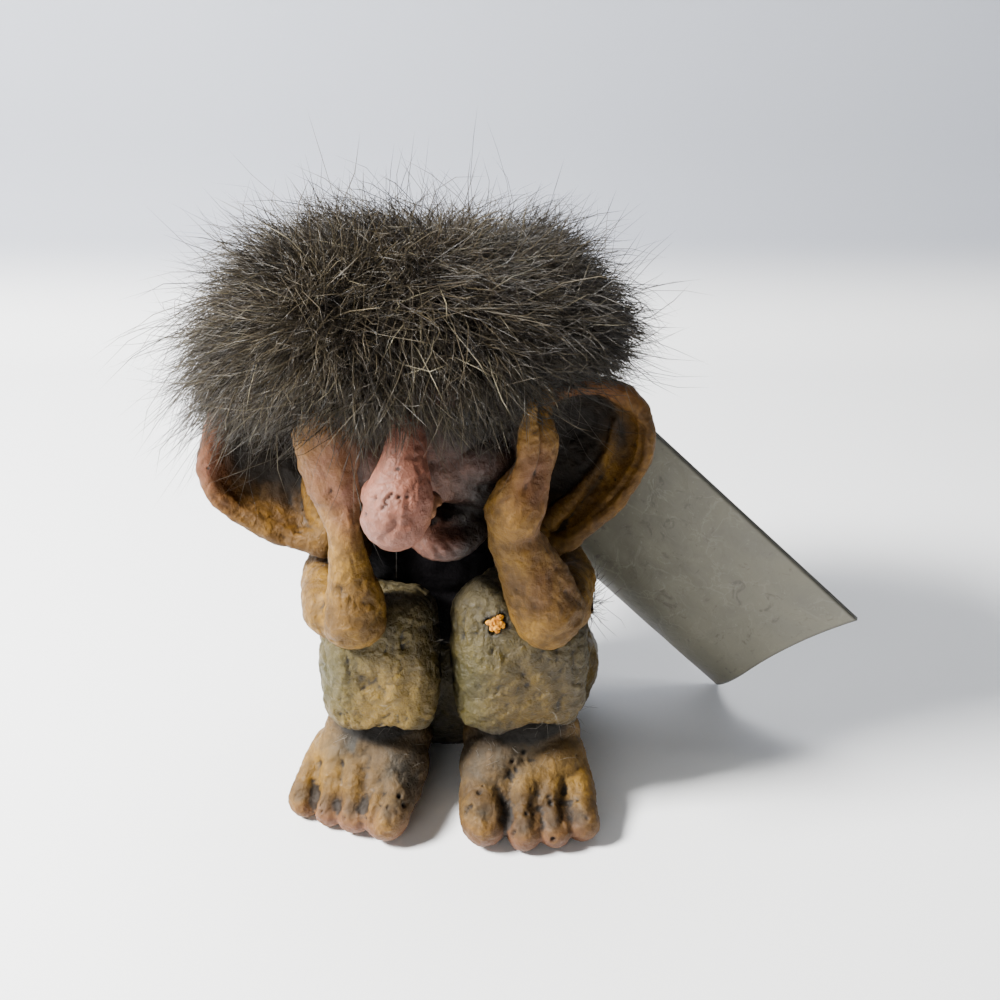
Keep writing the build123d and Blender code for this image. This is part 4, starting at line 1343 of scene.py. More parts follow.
@dataclass
class Head:
    """The head with its long nose, cheeks, open mouth and lip, and the bead eyes."""

    voxel: float = 0.34
    nose: tuple[Place, ...] = (
        (-4.2, -24.0, 80.0), (-4.2, -27.6, 76.6), (-4.6, -31.2, 72.2), (-5.2, -34.2, 68.4),
        (-5.8, -35.6, 66.0),
    )
    nose_radii: tuple[float, ...] = (2.4, 2.9, 3.9, 5.2, 5.3)
    brow: tuple[Place, ...] = (
        (-12.0, -22.0, 81.5), (-4.0, -25.0, 82.0), (6.0, -24.4, 82.0), (11.0, -20.5, 81.0),
    )
    brow_radii: tuple[float, ...] = (2.6, 2.8, 2.8, 2.4)
    lip: tuple[Place, ...] = (
        (-4.4, -25.0, 57.4), (-0.8, -26.8, 55.8), (3.4, -26.0, 55.8), (6.6, -23.6, 57.4),
    )
    lip_radii: tuple[float, ...] = (1.8, 2.5, 2.6, 2.2)

    def build(self, finishes: Finishes) -> bpy.types.Object:
        """Model and dress the head."""
        clay = Clay("head_skin", self.voxel)
        for egg in (
            ((-1.0, -7.6, 77.0), (34.4, 38.0, 37.5)),
            ((0.0, -16.0, 66.5), (26.0, 19.0, 25.0)),
            ((0.6, -18.6, 57.6), (19.0, 13.5, 14.0)),
            ((7.0, -22.0, 69.0), (11.0, 8.0, 9.0)),
            ((5.0, -21.0, 64.0), (12.0, 8.0, 9.0)),
            ((-9.5, -22.6, 68.0), (10.0, 8.0, 11.0)),
        ):
            clay.lump(*egg)
        clay.limb(self.brow, self.brow_radii)
        clay.limb(self.nose, self.nose_radii, steps=8)
        clay.lump((-0.8, -31.6, 65.8), (4.0, 6.6, 4.0))
        clay.lump((-9.2, -31.4, 67.6), (4.2, 7.0, 4.6))
        clay.limb(self.lip, self.lip_radii)
        clay.lump((1.0, -20.6, 52.6), (11.0, 7.0, 6.4))
        clay.fuse(smooth=3)
        clay.push((0.2, -27.0, 60.2), (3.6, 5.0, 1.4), (0, 6.0, 0))
        clay.look()
        for lines, width, height, dark in FACE_LINES:
            clay.creases(lines, width, height, dark)
        clay.wrinkle((2.4, 3.0, 2.4), 0.12, 14.0, 0.35)
        clay.rough(4.0, 0.30, 71.0)
        clay.rough(1.4, 0.08, 73.0)
        for patch in (
            (Mark.BLUSH, (-5.0, -35.5, 69.0), (8, 8, 11), 1.0),
            (Mark.BLUSH, (-4.6, -31.0, 74.0), (5, 5, 7), 0.9),
            (Mark.BLUSH, (-0.6, -27.5, 56.4), (5.5, 5, 2.8), 0.42),
            (Mark.BLUSH, (6.6, -27.0, 69.8), (3.4, 3.5, 2.2), 0.40),
            # A painted highlight on the nostril, in the gold colour.
            (Mark.GOLD, (0.4, -33.0, 65.8), (2.4, 4, 2.2), 0.45),
            (Mark.SHADE, (8.4, -22.0, 62.0), (5, 8, 8), 0.85),
            (Mark.SHADE, (4.0, -23.0, 76.0), (9, 7, 5), 0.80),
            (Mark.SHADE, (-11.5, -22.0, 62.0), (4, 8, 9), 0.75),
        ):
            clay.paint(*patch)
        clay.pinholes(NOSE_HOLES, 0.24)
        for patch in (
            (Mark.SHADE, (0.4, -26.0, 60.5), (4.0, 6.5, 1.6), 1.0),
            (Mark.SHADE, (0, -18, 49.5), (16, 12, 7), 1.0),
            (Mark.SHADE, (9.0, -23.0, 69.0), (7, 7, 7), 0.25),
            (Mark.SHADE, (6.0, -26.0, 55.0), (5, 5, 4), 0.60),
        ):
            clay.paint(*patch)
        clay.weather(0.22, 1.0)
        head = clay.finish(finishes.face, "skin", "head_skin", "nose", "lower_lip")
        for side in Side:
            dress_node(bpy.data.objects[f"{side.word}_eye"], finishes.bead)
        return head


def dress_node(node: bpy.types.Object, material: bpy.types.Material) -> None:
    """Give a construction piece that stays in view its finish."""
    if node.material_slots:
        for spot in node.material_slots:
            spot.material = material
    else:
        node.data.materials.append(material)


# Ears


@dataclass
class Ear:
    """A big ear: a rolled rim round a deep bowl with a fold down its middle.

    Args:
        side: whose ear it is.
        rim, rim_radii: places round the rim, and its radius at each.
        centre: the middle of the bowl's opening.
        folds: the path and radii of each fold in the bowl.
        dents: lines cut in the skin as the camera sees them.
        blush: a painted patch, with its place, sizes and amount.
        bright: places inside the bowl that the light reaches, painted lighter as painted light, with
            their sizes.
        darkness: how dark the painted shade in the rest of the bowl is.
        depth, wall: how deep the bowl is, and how thick.
        voxel: the size of the faces of the skin.
    """

    side: Side
    rim: list[Place]
    centre: Place
    rim_radii: list[float]
    folds: list[tuple[list[Place], list[float]]]
    dents: list[list[Pixel]]
    blush: tuple[Place, Place, float]
    bright: list[tuple[Place, Place]] = field(default_factory=list)
    darkness: float = 1.0
    depth: float = 7.0
    wall: float = 1.8
    voxel: float = 0.32

    def build(self, finishes: Finishes) -> bpy.types.Object:
        """Model and dress the ear."""
        clay = Clay(f"{self.side.word}_ear", self.voxel)
        loop = [Vector(place) for place in self.rim]
        closed = smooth_path(loop + loop[:1], 5)[:-1]
        clay.bowl([tuple(place) for place in closed], self.centre, self.depth, self.wall)
        clay.limb(self.rim + self.rim[:1], self.rim_radii + self.rim_radii[:1], steps=7)
        for fold, radii in self.folds:
            clay.limb(fold, radii)
        clay.fuse(smooth=4)
        clay.creases(self.dents, 0.8, -0.4, 0.35)
        clay.wrinkle((2.6, 2.6, 3.6), 0.10, 16.0 + self.side.value)
        for scale, height, seed in ((6.0, 0.42, 81.0), (2.2, 0.12, 83.0)):
            clay.rough(scale, height, seed + self.side.value)
        clay.rough(0.9, 0.07, 87.0)
        # The inside of the bowl is painted dark, as painted shade.
        middle = np.array(self.centre)
        spread = np.max(np.abs(np.array(self.rim) - middle), axis=0)
        away = (clay.points - middle)[:, [0, 2]] / spread[[0, 2]]
        inner = np.clip(4.6 - np.hypot(away[:, 0], away[:, 1]) * 4.9, 0, 1)
        inside = inner * np.clip((clay.points[:, 1] - middle[1] + 0.4) / 2.6, 0, 1)
        clay.stain[:, 1] = np.clip(clay.stain[:, 1] + inside * self.darkness, 0, 1)
        # Painted light at the places that the light reaches: less painted shade, and some gold.
        for spot, extent in self.bright:
            clay.paint(Mark.SHADE, spot, extent, -0.8)
            clay.paint(Mark.GOLD, spot, extent, 0.35)
        place, sizes, amount = self.blush
        clay.paint(Mark.BLUSH, place, sizes, amount)
        clay.weather(0.20, 1.0)
        return clay.finish(finishes.ear, "skin", f"{self.side.word}_ear")


# Fur


@dataclass
class Pile:
    """One mass of fur: strands that leave an undercoat and bend with their tufts.

    Args:
        name: the piece's name.
        count: how many strands it has.
        length: mean length of a strand.
        centre, sizes: the soft region of the undercoat that the strands leave.
        comb: the direction that the strands are combed in.
        nodes: the construction pieces that it stands for.
        lift: how far the strands stand off the coat.
        droop: how far their tips hang.
        stray: how much each strand bends by itself.
        swirl, swirl_size: how strongly tufts turn aside, and how wide such a turn is.
        tufts: how many tufts it has.
        gather: how closely strands keep to their tuft.
        thick: the radius of a strand.
        spread: how much strands differ in the direction in which they leave.
        seed: the seed of its random draws.
        finish: the name of its finish.
        trimmed: whether it follows the mop's currents and outline in front.
    """

    name: str
    count: int
    length: float
    centre: Place
    sizes: Place
    comb: Place
    nodes: tuple[str, ...] = ()
    lift: float = 0.30
    droop: float = 0.22
    stray: float = 0.26
    swirl: float = 0.95
    swirl_size: float = 9.0
    tufts: int = 90
    gather: float = 0.56
    thick: float = 0.064
    spread: float = 0.40
    seed: int = 1
    finish: str = "fur"
    trimmed: bool = False


CURRENTS: list[tuple[Pixel, tuple[float, float]]] = [
    ((215, 230), (-0.9, -0.3)), ((260, 200), (-0.4, -0.8)), ((330, 200), (-0.3, -0.8)),
    ((400, 210), (0.2, -0.7)), ((300, 245), (-0.9, 0.1)), ((380, 240), (-0.9, 0.2)),
    ((200, 300), (-0.8, 0.5)), ((250, 300), (-0.6, 0.7)), ((190, 380), (-0.9, 0.5)),
    ((240, 390), (-0.5, 0.9)), ((300, 350), (-0.2, 1.0)), ((335, 300), (0.1, 1.0)),
    ((340, 380), (-0.1, 1.0)), ((400, 280), (0.7, 0.6)), ((460, 260), (0.6, 0.6)),
    ((500, 210), (0.3, -0.8)), ((560, 205), (0.7, -0.6)), ((540, 270), (0.8, 0.4)),
    ((600, 270), (0.9, -0.1)), ((620, 340), (0.9, 0.4)), ((560, 350), (0.8, 0.5)),
    ((480, 340), (0.8, 0.5)), ((420, 350), (0.2, 0.9)), ((400, 400), (-0.1, 1.0)),
    ((470, 400), (0.5, 0.8)), ((550, 395), (0.9, 0.2)), ((610, 400), (0.8, 0.6)),
]


MOP_OUTLINE: list[Pixel] = [
    (255, 208), (325, 200), (395, 210), (425, 222), (475, 214), (540, 208), (575, 222), (602, 262),
    (628, 310), (636, 355), (634, 380), (598, 370), (545, 376), (508, 425), (475, 450), (435, 448),
    (416, 428), (402, 440), (392, 478), (378, 470), (360, 448), (330, 428), (295, 424), (275, 448),
    (238, 458), (200, 438), (168, 405), (160, 370), (174, 320), (190, 280), (198, 240), (222, 214),
]
MOP_MIDDLE = np.array((415.0, 320.0))
MOP_LOW, MOP_HIGH = np.array((-55.0, -50.0, 10.0)), np.array((60.0, 35.0, 117.5))


class Furrier:
    """Grows strands on an undercoat. A strand is a three-sided tapered hair."""

    SEGMENTS = 4
    SIDES = 3
    ROOT_DEPTH = 0.6
    COARSE_SHARE = 0.20
    COARSE_WAVE = 1.3
    TAPER_PLACES = (0, 0.25, 0.8, 1.0)
    TAPER_RADII = (0.75, 1.0, 0.7, 0.12)
    LENGTH_SPREAD, TUFT_SPREAD = 0.26, 0.25
    CURRENT_SIZE = (32, 28)
    TRIM_SPREAD, TRIM_TUFT_SPREAD = 0.11, 0.09
    LONG_SHARE, LONG_MOST = 0.24, 1.30
    # Where painted shade falls on the fur: low on the head, on its left side away from the lamp, and in
    # noisy gaps.
    DARK_BELOW, DARK_FADE = 88, 9
    DARK_LEFT_OF, DARK_SPAN = 1, 18
    GAP_SIZE, GAP_SHIFT = 7.5, (3, 5, 8)
    GAP_FROM, GAP_SPAN = 0.02, 0.22
    CHUNK = 2000

    def __init__(self, coat: Clay) -> None:
        """Keep the coat's faces, so that strands can leave anywhere on it."""
        mesh = coat.piece.data
        mesh.calc_loop_triangles()
        count = len(mesh.loop_triangles)
        corners = np.empty(count * 3, int)
        mesh.loop_triangles.foreach_get("vertices", corners)
        self.corners = corners.reshape(-1, 3)
        self.points = coat.points
        self.normals = coat.normals
        a, b, c = (self.points[self.corners[:, k]] for k in range(3))
        self.areas = np.linalg.norm(np.cross(b - a, c - a), axis=1) / 2
        self.middles = (a + b + c) / 3
        self.template = self._template()

    def _template(self) -> tuple[np.ndarray, np.ndarray]:
        """One strand, extruded from a three-sided ring: each corner's ring and turn, and faces."""
        strand = bmesh.new()
        bmesh.ops.create_circle(strand, segments=self.SIDES, radius=1, cap_ends=True)
        edges = strand.edges[:]
        for _ in range(self.SEGMENTS):
            fresh, edges = extrude(strand, edges)
            bmesh.ops.translate(strand, verts=fresh, vec=(0, 0, 1))
        bmesh.ops.pointmerge(strand, verts=fresh, merge_co=(0, 0, self.SEGMENTS))
        bmesh.ops.triangulate(strand, faces=strand.faces[:])
        bmesh.ops.recalc_face_normals(strand, faces=strand.faces[:])
        strand.verts.index_update()
        corners = np.array([vert.co for vert in strand.verts])
        faces = np.array([[vert.index for vert in face.verts] for face in strand.faces])
        strand.free()
        return corners, faces

    def _roots(self, pile: Pile, count: int, rng: np.random.Generator) -> tuple[np.ndarray, np.ndarray]:
        """Places and normals on the coat, most of them in the pile's region."""
        away = (self.middles - np.array(pile.centre)) / np.array(pile.sizes)
        weight = self.areas * np.exp(-np.einsum("ij,ij->i", away, away) ** 2)
        face = rng.choice(len(weight), count, p=weight / weight.sum())
        share = rng.random((count, 2))
        flip = share.sum(axis=1) > 1
        share[flip] = 1 - share[flip]
        rest = 1 - share.sum(axis=1)
        parts = [rest, share[:, 0], share[:, 1]]
        chosen = self.corners[face]
        place = sum(self.points[chosen[:, k]] * parts[k][:, None] for k in range(3))
        normal = sum(self.normals[chosen[:, k]] * parts[k][:, None] for k in range(3))
        return place, normal / np.linalg.norm(normal, axis=1)[:, None]

    def _comb(self, pile: Pile, root: np.ndarray) -> np.ndarray:
        """The direction each strand is combed in: its pile's, or in front that of the currents."""
        comb = np.tile(np.array(pile.comb, float), (len(root), 1))
        if not pile.trimmed:
            return comb
        pitch = math.radians(SIGHT.pitch)
        up = np.array((0, math.sin(pitch), math.cos(pitch)))
        spots = SIGHT.pixels(root)
        total, share = np.zeros_like(comb), np.full(len(root), 0.02)
        for (x, y), (right, down) in CURRENTS:
            wide, high = self.CURRENT_SIZE
            near = np.exp(-(((spots[:, 0] - x) / wide) ** 2 + ((spots[:, 1] - y) / high) ** 2))
            total += near[:, None] * (np.array((right, 0, 0)) - down * up)
            share += near
        front = np.clip((6 - root[:, 1]) / 10, 0, 1)[:, None]
        return comb * (1 - front) + front * total / share[:, None]

    def _paths(
        self, pile: Pile, root: np.ndarray, normal: np.ndarray, length: np.ndarray,
        rng: np.random.Generator,
    ) -> np.ndarray:
        """The bent course of each strand, root to tip."""
        count = len(root)
        comb = self._comb(pile, root)
        shift = Vector((pile.seed, 0, 0))
        turn = [noise.noise_vector(Vector(place / pile.swirl_size) + shift) for place in root]
        comb = comb + np.array(turn) * pile.swirl
        comb -= np.einsum("ij,ij->i", comb, normal)[:, None] * normal
        heading = normal * pile.lift + comb + rng.normal(0, pile.spread, (count, 3))
        heading /= np.linalg.norm(heading, axis=1)[:, None]
        bend = rng.normal(0, pile.stray, (count, 3))
        places = [root - normal * self.ROOT_DEPTH]
        step = length[:, None] / self.SEGMENTS
        for _ in range(self.SEGMENTS):
            places.append(places[-1] + heading * step)
            heading = heading + bend + np.array((0, 0, -pile.droop / self.SEGMENTS)) + comb * 0.08
            bend = bend * 0.8 + rng.normal(0, pile.stray * 0.4, (count, 3))
            heading /= np.linalg.norm(heading, axis=1)[:, None]
        return np.stack(places, axis=1)

    def _trim(self, paths: np.ndarray, tuft: np.ndarray, rng: np.random.Generator) -> np.ndarray:
        """Shorten the strands that would reach past the mop's outline, each by its own measure."""
        outline = np.array(MOP_OUTLINE) - MOP_MIDDLE
        turns = np.arctan2(outline[:, 1], outline[:, 0])
        order = np.argsort(turns)
        root = SIGHT.pixels(paths[:, 0]) - MOP_MIDDLE
        tip = SIGHT.pixels(paths[:, -1]) - MOP_MIDDLE
        turn = np.arctan2(tip[:, 1], tip[:, 0])
        limit = np.interp(turn, turns[order], np.hypot(*outline.T)[order], period=2 * math.pi)
        count = len(paths)
        limit *= np.clip(rng.normal(0.99, self.TRIM_SPREAD, count), 0.72, 1.28)
        own = rng.normal(1.0, self.TRIM_TUFT_SPREAD, tuft.max() + 1)
        limit *= np.clip(own, 0.84, 1.2)[tuft]
        long = rng.random(count) < self.LONG_SHARE
        limit *= np.where(long, rng.uniform(1.0, self.LONG_MOST, count), 1.0)
        start, end = np.hypot(*root.T), np.hypot(*tip.T)
        share = np.clip((limit - start) / np.maximum(end - start, 1.0), 0.12, 1.0)
        share = np.where(end > limit, share, 1.0)
        return paths[:, :1] + (paths - paths[:, :1]) * share[:, None, None]

    def _fit(self, paths: np.ndarray) -> np.ndarray:
        """Shorten the strands that would leave the box that the figure keeps to."""
        root = paths[:, 0]
        over = np.maximum(paths.max(axis=1) - root, 1e-6)
        under = np.maximum(root - paths.min(axis=1), 1e-6)
        share = np.minimum((MOP_HIGH - root) / over, (root - MOP_LOW) / under).min(axis=1)
        return paths[:, :1] + (paths - paths[:, :1]) * np.clip(share, 0.1, 1.0)[:, None, None]

    def grow(self, pile: Pile, finishes: Finishes) -> bpy.types.Object:
        """Grow one mass of fur and dress it."""
        rng = np.random.default_rng(pile.seed)
        root, normal = self._roots(pile, pile.count, rng)
        tuft_root, tuft_normal = self._roots(pile, pile.tufts, rng)
        tuft_length = np.full(pile.tufts, pile.length * 1.05)
        guides = self._paths(pile, tuft_root, tuft_normal, tuft_length, rng)
        nearest = np.empty(pile.count, int)
        for start in range(0, pile.count, self.CHUNK):
            part = root[start:start + self.CHUNK]
            gap = ((part[:, None, :] - tuft_root[None]) ** 2).sum(axis=2)
            nearest[start:start + self.CHUNK] = gap.argmin(axis=1)
        length = rng.normal(1.0, self.LENGTH_SPREAD, pile.count)
        length = pile.length * np.clip(length, 0.4, 1.8)
        length *= np.clip(rng.normal(1.0, self.TUFT_SPREAD, pile.tufts), 0.6, 1.5)[nearest]
        paths = self._paths(pile, root, normal, length, rng)
        along = np.linspace(0, 1, self.SEGMENTS + 1)
        own = rng.random(pile.count) ** 0.7 * pile.gather
        coarse = rng.random(pile.count) < self.COARSE_SHARE
        own[coarse] *= 0.35
        wave = np.cumsum(rng.normal(0, 0.35, (pile.count, self.SEGMENTS + 1, 3)), axis=1)
        paths = paths + wave * (coarse * along[:, None]).T[..., None] * self.COARSE_WAVE
        pull = own[:, None] * along[None, :] ** 0.9
        start = tuft_root[nearest]
        offset = (root - start)[:, None, :] * (1 - 0.55 * along)[None, :, None]
        reach = length / tuft_length[nearest]
        start = start[:, None, :]
        guide = start + (guides[nearest] - start) * reach[:, None, None]
        paths = paths * (1 - pull[..., None]) + (guide + offset) * pull[..., None]
        if pile.trimmed:
            paths = self._trim(paths, nearest, rng)
        paths = self._fit(paths)
        return self._mesh(pile, paths, nearest, coarse, rng, finishes)

    def _shades(
        self, pile: Pile, root: np.ndarray, tuft: np.ndarray, coarse: np.ndarray,
        ring: np.ndarray, rng: np.random.Generator,
    ) -> np.ndarray:
        """Each point's shade: its strand's tone, its share of the length, and its darkness.

        Strands are darker low on the head, on its left side and in noisy gaps: painted shade on the
        low part of the mop, on the side away from the lamp, and between clumps. Coarse strands are
        paler: pale fibres and painted glints.
        """
        count = len(root)
        shade = np.ones((count, len(ring), 4), np.float32)
        tuft_tone = rng.random(pile.tufts)[tuft]
        tone = rng.random(count) * 0.52 + tuft_tone * 0.20
        # Coarse strands are paler: pale fibres and painted glints.
        tone = tone + coarse * (0.12 + 0.36 * rng.random(count))
        shade[..., 0] = np.clip(tone, 0, 1)[:, None]
        shade[..., 1] = (ring / self.SEGMENTS)[None, :]
        below = np.clip((self.DARK_BELOW - root[:, 2]) / self.DARK_FADE, 0, 1)
        beside = np.clip((root[:, 0] - self.DARK_LEFT_OF) / self.DARK_SPAN, 0, 1)
        spots = [Vector(place / self.GAP_SIZE) + Vector(self.GAP_SHIFT) for place in root]
        gap = np.array([noise.noise(spot) for spot in spots])
        gap = np.clip((gap - self.GAP_FROM) / self.GAP_SPAN, 0, 1)
        dark = below * 0.9 * (pile.finish == "fur")
        dark += beside * 1.1 * pile.trimmed
        dark += gap * 0.75 * pile.trimmed
        shade[..., 2] = np.clip(rng.random(count) ** 2 + dark, 0, 1)[:, None]
        return shade

    def _mesh(
        self, pile: Pile, paths: np.ndarray, tuft: np.ndarray, coarse: np.ndarray,
        rng: np.random.Generator, finishes: Finishes,
    ) -> bpy.types.Object:
        """Copy the strand along every path into one mesh."""
        count = len(paths)
        corners, faces = self.template
        ring = np.rint(corners[:, 2]).astype(int)
        turn = np.arctan2(corners[:, 1], corners[:, 0])
        out = np.hypot(corners[:, 0], corners[:, 1])
        tangent = np.gradient(paths, axis=1)
        tangent /= np.linalg.norm(tangent, axis=2)[..., None]
        guide = rng.normal(0, 1, (count, 1, 3))
        across = np.cross(tangent, guide)
        across /= np.maximum(np.linalg.norm(across, axis=2)[..., None], 1e-6)
        beside = np.cross(tangent, across)
        along = np.linspace(0, 1, self.SEGMENTS + 1)
        taper = np.interp(along, self.TAPER_PLACES, self.TAPER_RADII)
        thick = pile.thick * np.clip(rng.normal(1, 0.25, count), 0.5, 1.8) * (1 + 0.18 * coarse)
        radius = thick[:, None] * taper[None, :]
        wide = across[:, ring] * np.cos(turn)[None, :, None]
        wide = wide + beside[:, ring] * np.sin(turn)[None, :, None]
        verts = paths[:, ring] + wide * (radius[:, ring] * out)[..., None]
        index = (faces[None] + (np.arange(count) * len(corners))[:, None, None]).reshape(-1, 3)
        mesh = bpy.data.meshes.new(pile.name)
        mesh.vertices.add(count * len(corners))
        mesh.vertices.foreach_set("co", (verts * METRES_PER_MM).astype(np.float32).ravel())
        mesh.loops.add(index.size)
        mesh.loops.foreach_set("vertex_index", index.astype(np.int32).ravel())
        mesh.polygons.add(len(index))
        mesh.polygons.foreach_set("loop_start", np.arange(0, index.size, 3, dtype=np.int32))
        mesh.update(calc_edges=True)
        keep_colours(mesh, "strand", self._shades(pile, paths[:, 0], tuft, coarse, ring, rng))
        mesh.materials.append(getattr(finishes, pile.finish))
        mesh.shade_smooth()
        piece = add_object(pile.name, mesh)
        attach(piece, FIGURE)
        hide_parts(*pile.nodes)
        LOG.info("%s: %d strands, %d faces", pile.name, count, len(index))
        return piece


PILES = [
    Pile(
        "fur_right_crown", 5600, 16.0, (-18, -8, 98), (19, 24, 9), (-0.35, -0.10, 0.15),
        ("hair_right",), seed=11, trimmed=True,
    ),
    Pile(
        "fur_right_side", 5600, 20.0, (-32, -6, 86), (13, 24, 15), (-0.50, -0.05, -0.50),
        seed=12, trimmed=True,
    ),
    Pile(
        "fur_right_front", 5600, 16.0, (-19, -25, 88), (20, 9, 12), (-0.45, -0.1, -0.40),
        seed=18, trimmed=True,
    ),
    Pile(
        "fur_left_crown", 5600, 15.0, (12, -8, 98), (19, 24, 9), (0.30, -0.10, 0.10),
        ("hair_left",), seed=13, trimmed=True,
    ),
    Pile(
        "fur_left_side", 5600, 14.0, (25, -6, 88), (13, 24, 13), (0.35, -0.05, -0.40),
        seed=14, trimmed=True,
    ),
    Pile(
        "fur_left_front", 5600, 13.0, (14, -25, 90), (18, 9, 12), (0.30, -0.1, -0.30),
        seed=19, trimmed=True,
    ),
    Pile(
        "fur_fringe", 5400, 14.5, (0, -24, 84), (12, 8, 8), (0.0, -0.1, -0.9),
        ("hair_fringe",), seed=15, trimmed=True,
    ),
    Pile(
        "fur_mane", 4600, 17.0, (-2, 18, 76), (32, 12, 28), (0.0, 0.2, -0.9),
        ("hair_mane",), seed=17, droop=0.5, trimmed=True,
    ),
    Pile(
        "fur_forelock", 1500, 18.0, (-8.0, -26, 81), (3.4, 5, 4), (0.12, 0.0, -1.0),
        seed=25, lift=0.12, tufts=14, spread=0.18, stray=0.14,
    ),
    Pile(
        "fur_forelock_left", 800, 10.0, (7.0, -27, 81), (6.0, 5, 3), (0.3, 0.0, -1.0),
        seed=26, lift=0.15, tufts=12,
    ),
    Pile(
        "fur_strays", 1300, 15.0, (-3, -8, 92), (60, 60, 26), (0.0, -0.1, 0.1),
        seed=23, lift=0.8, spread=0.7, stray=0.3, gather=0.0, thick=0.06,
    ),
]


@dataclass
class Mop:
    """The fur wig: an undercoat on the skull and the masses of fur that leave it."""

    voxel: float = 0.9

    def build(self, finishes: Finishes) -> list[bpy.types.Object]:
        """Model the undercoat and grow the fur."""
        coat = Clay("wig_backing", self.voxel)
        for egg in (
            ((-15.0, -5.5, 88.0), (30.0, 40.0, 19.0)),
            ((-20.0, -6.0, 89.0), (17.0, 32.0, 14.0)),
            ((-25.0, -4.0, 82.5), (18.0, 28.0, 16.0)),
            ((9.5, -5.5, 88.0), (28.0, 40.0, 19.0)),
            ((16.0, -6.0, 88.5), (15.0, 32.0, 13.0)),
            ((18.0, -4.0, 85.5), (17.0, 28.0, 13.0)),
            ((-2.8, -8.0, 89.0), (26.0, 32.0, 19.5)),
            ((-2.5, 9.0, 80.0), (31.0, 24.0, 34.0)),
            ((-3.5, 14.0, 69.0), (26.0, 13.0, 33.0)),
        ):
            coat.lump(*egg)
        coat.fuse(smooth=8)
        coat.rough(6.0, 1.2, 91.0)
        coat.rough(1.6, 0.5, 93.0)
        under = coat.finish(finishes.undercoat, "backing", "wig_backing")
        furrier = Furrier(coat)
        return [under] + [furrier.grow(pile, finishes) for pile in PILES]


def lint(clay: Clay, name: str, spots: list[Fuzz], finishes: Finishes) -> None:
    """Lay curls of loose fur where the camera sees them.

    Args:
        clay: the finished skin that they lie on.
        name: the start of their names.
        spots: their pixel, how many, and how long.
        finishes: every finish of the figure.
    """
    furrier = Furrier(clay)
    for number, (pixel, count, length) in enumerate(spots):
        for place in clay.seen([pixel]):
            pile = Pile(
                f"{name}_{number + 1}", count, length * 0.62, tuple(place), (4.5, 3.0, 3.0),
                (0.3, 0.0, -0.3), lift=0.22, droop=0.2, stray=0.50, swirl=1.2, swirl_size=3.0,
                tufts=6, gather=0.2, thick=0.022, spread=0.8, seed=40 + number, finish="lint",
            )
            furrier.grow(pile, finishes)


# Tail


@dataclass
class Tail:
    """The thin tail curled round the left hip, and its tuft of fur."""

    path: tuple[Place, ...] = (
        (4.0, 14.0, 7.0), (11.0, 17.3, 8.0), (19.5, 14.8, 11.6), (25.5, 8.5, 17.0), (27.4, 2.0, 24.0),
    )
    radii: tuple[float, ...] = (2.4, 2.2, 1.9, 1.6, 1.4)

    def build(self, finishes: Finishes) -> list[bpy.types.Object]:
        """Model and dress the tail and its tuft."""
        clay = Clay("tail", 0.4)
        clay.limb(self.path, self.radii, steps=10)
        clay.fuse(smooth=3)
        clay.rough(2.0, 0.2, 101.0)
        clay.weather(0.1, 0.4)
        tail = clay.finish(finishes.skin, "skin", "tail")
        knot = Clay("tuft_root", 0.4)
        end = Vector(self.path[-1])
        knot.limb([tuple(end), tuple(end + Vector((0.2, -0.6, 5.0)))], [1.3, 0.7])
        knot.fuse(smooth=3)
        knot.finish(finishes.undercoat, "fur")
        furrier = Furrier(knot)
        tuft = Pile(
            "tail_tuft", 160, 6.5, tuple(end + Vector((0, 0, 3))), (9, 9, 9), (0.15, -0.1, 0.8),
            ("tail_tuft",), lift=0.5, droop=0.1, seed=21, tufts=14,
        )
        return [tail, furrier.grow(tuft, finishes)]


# Tag


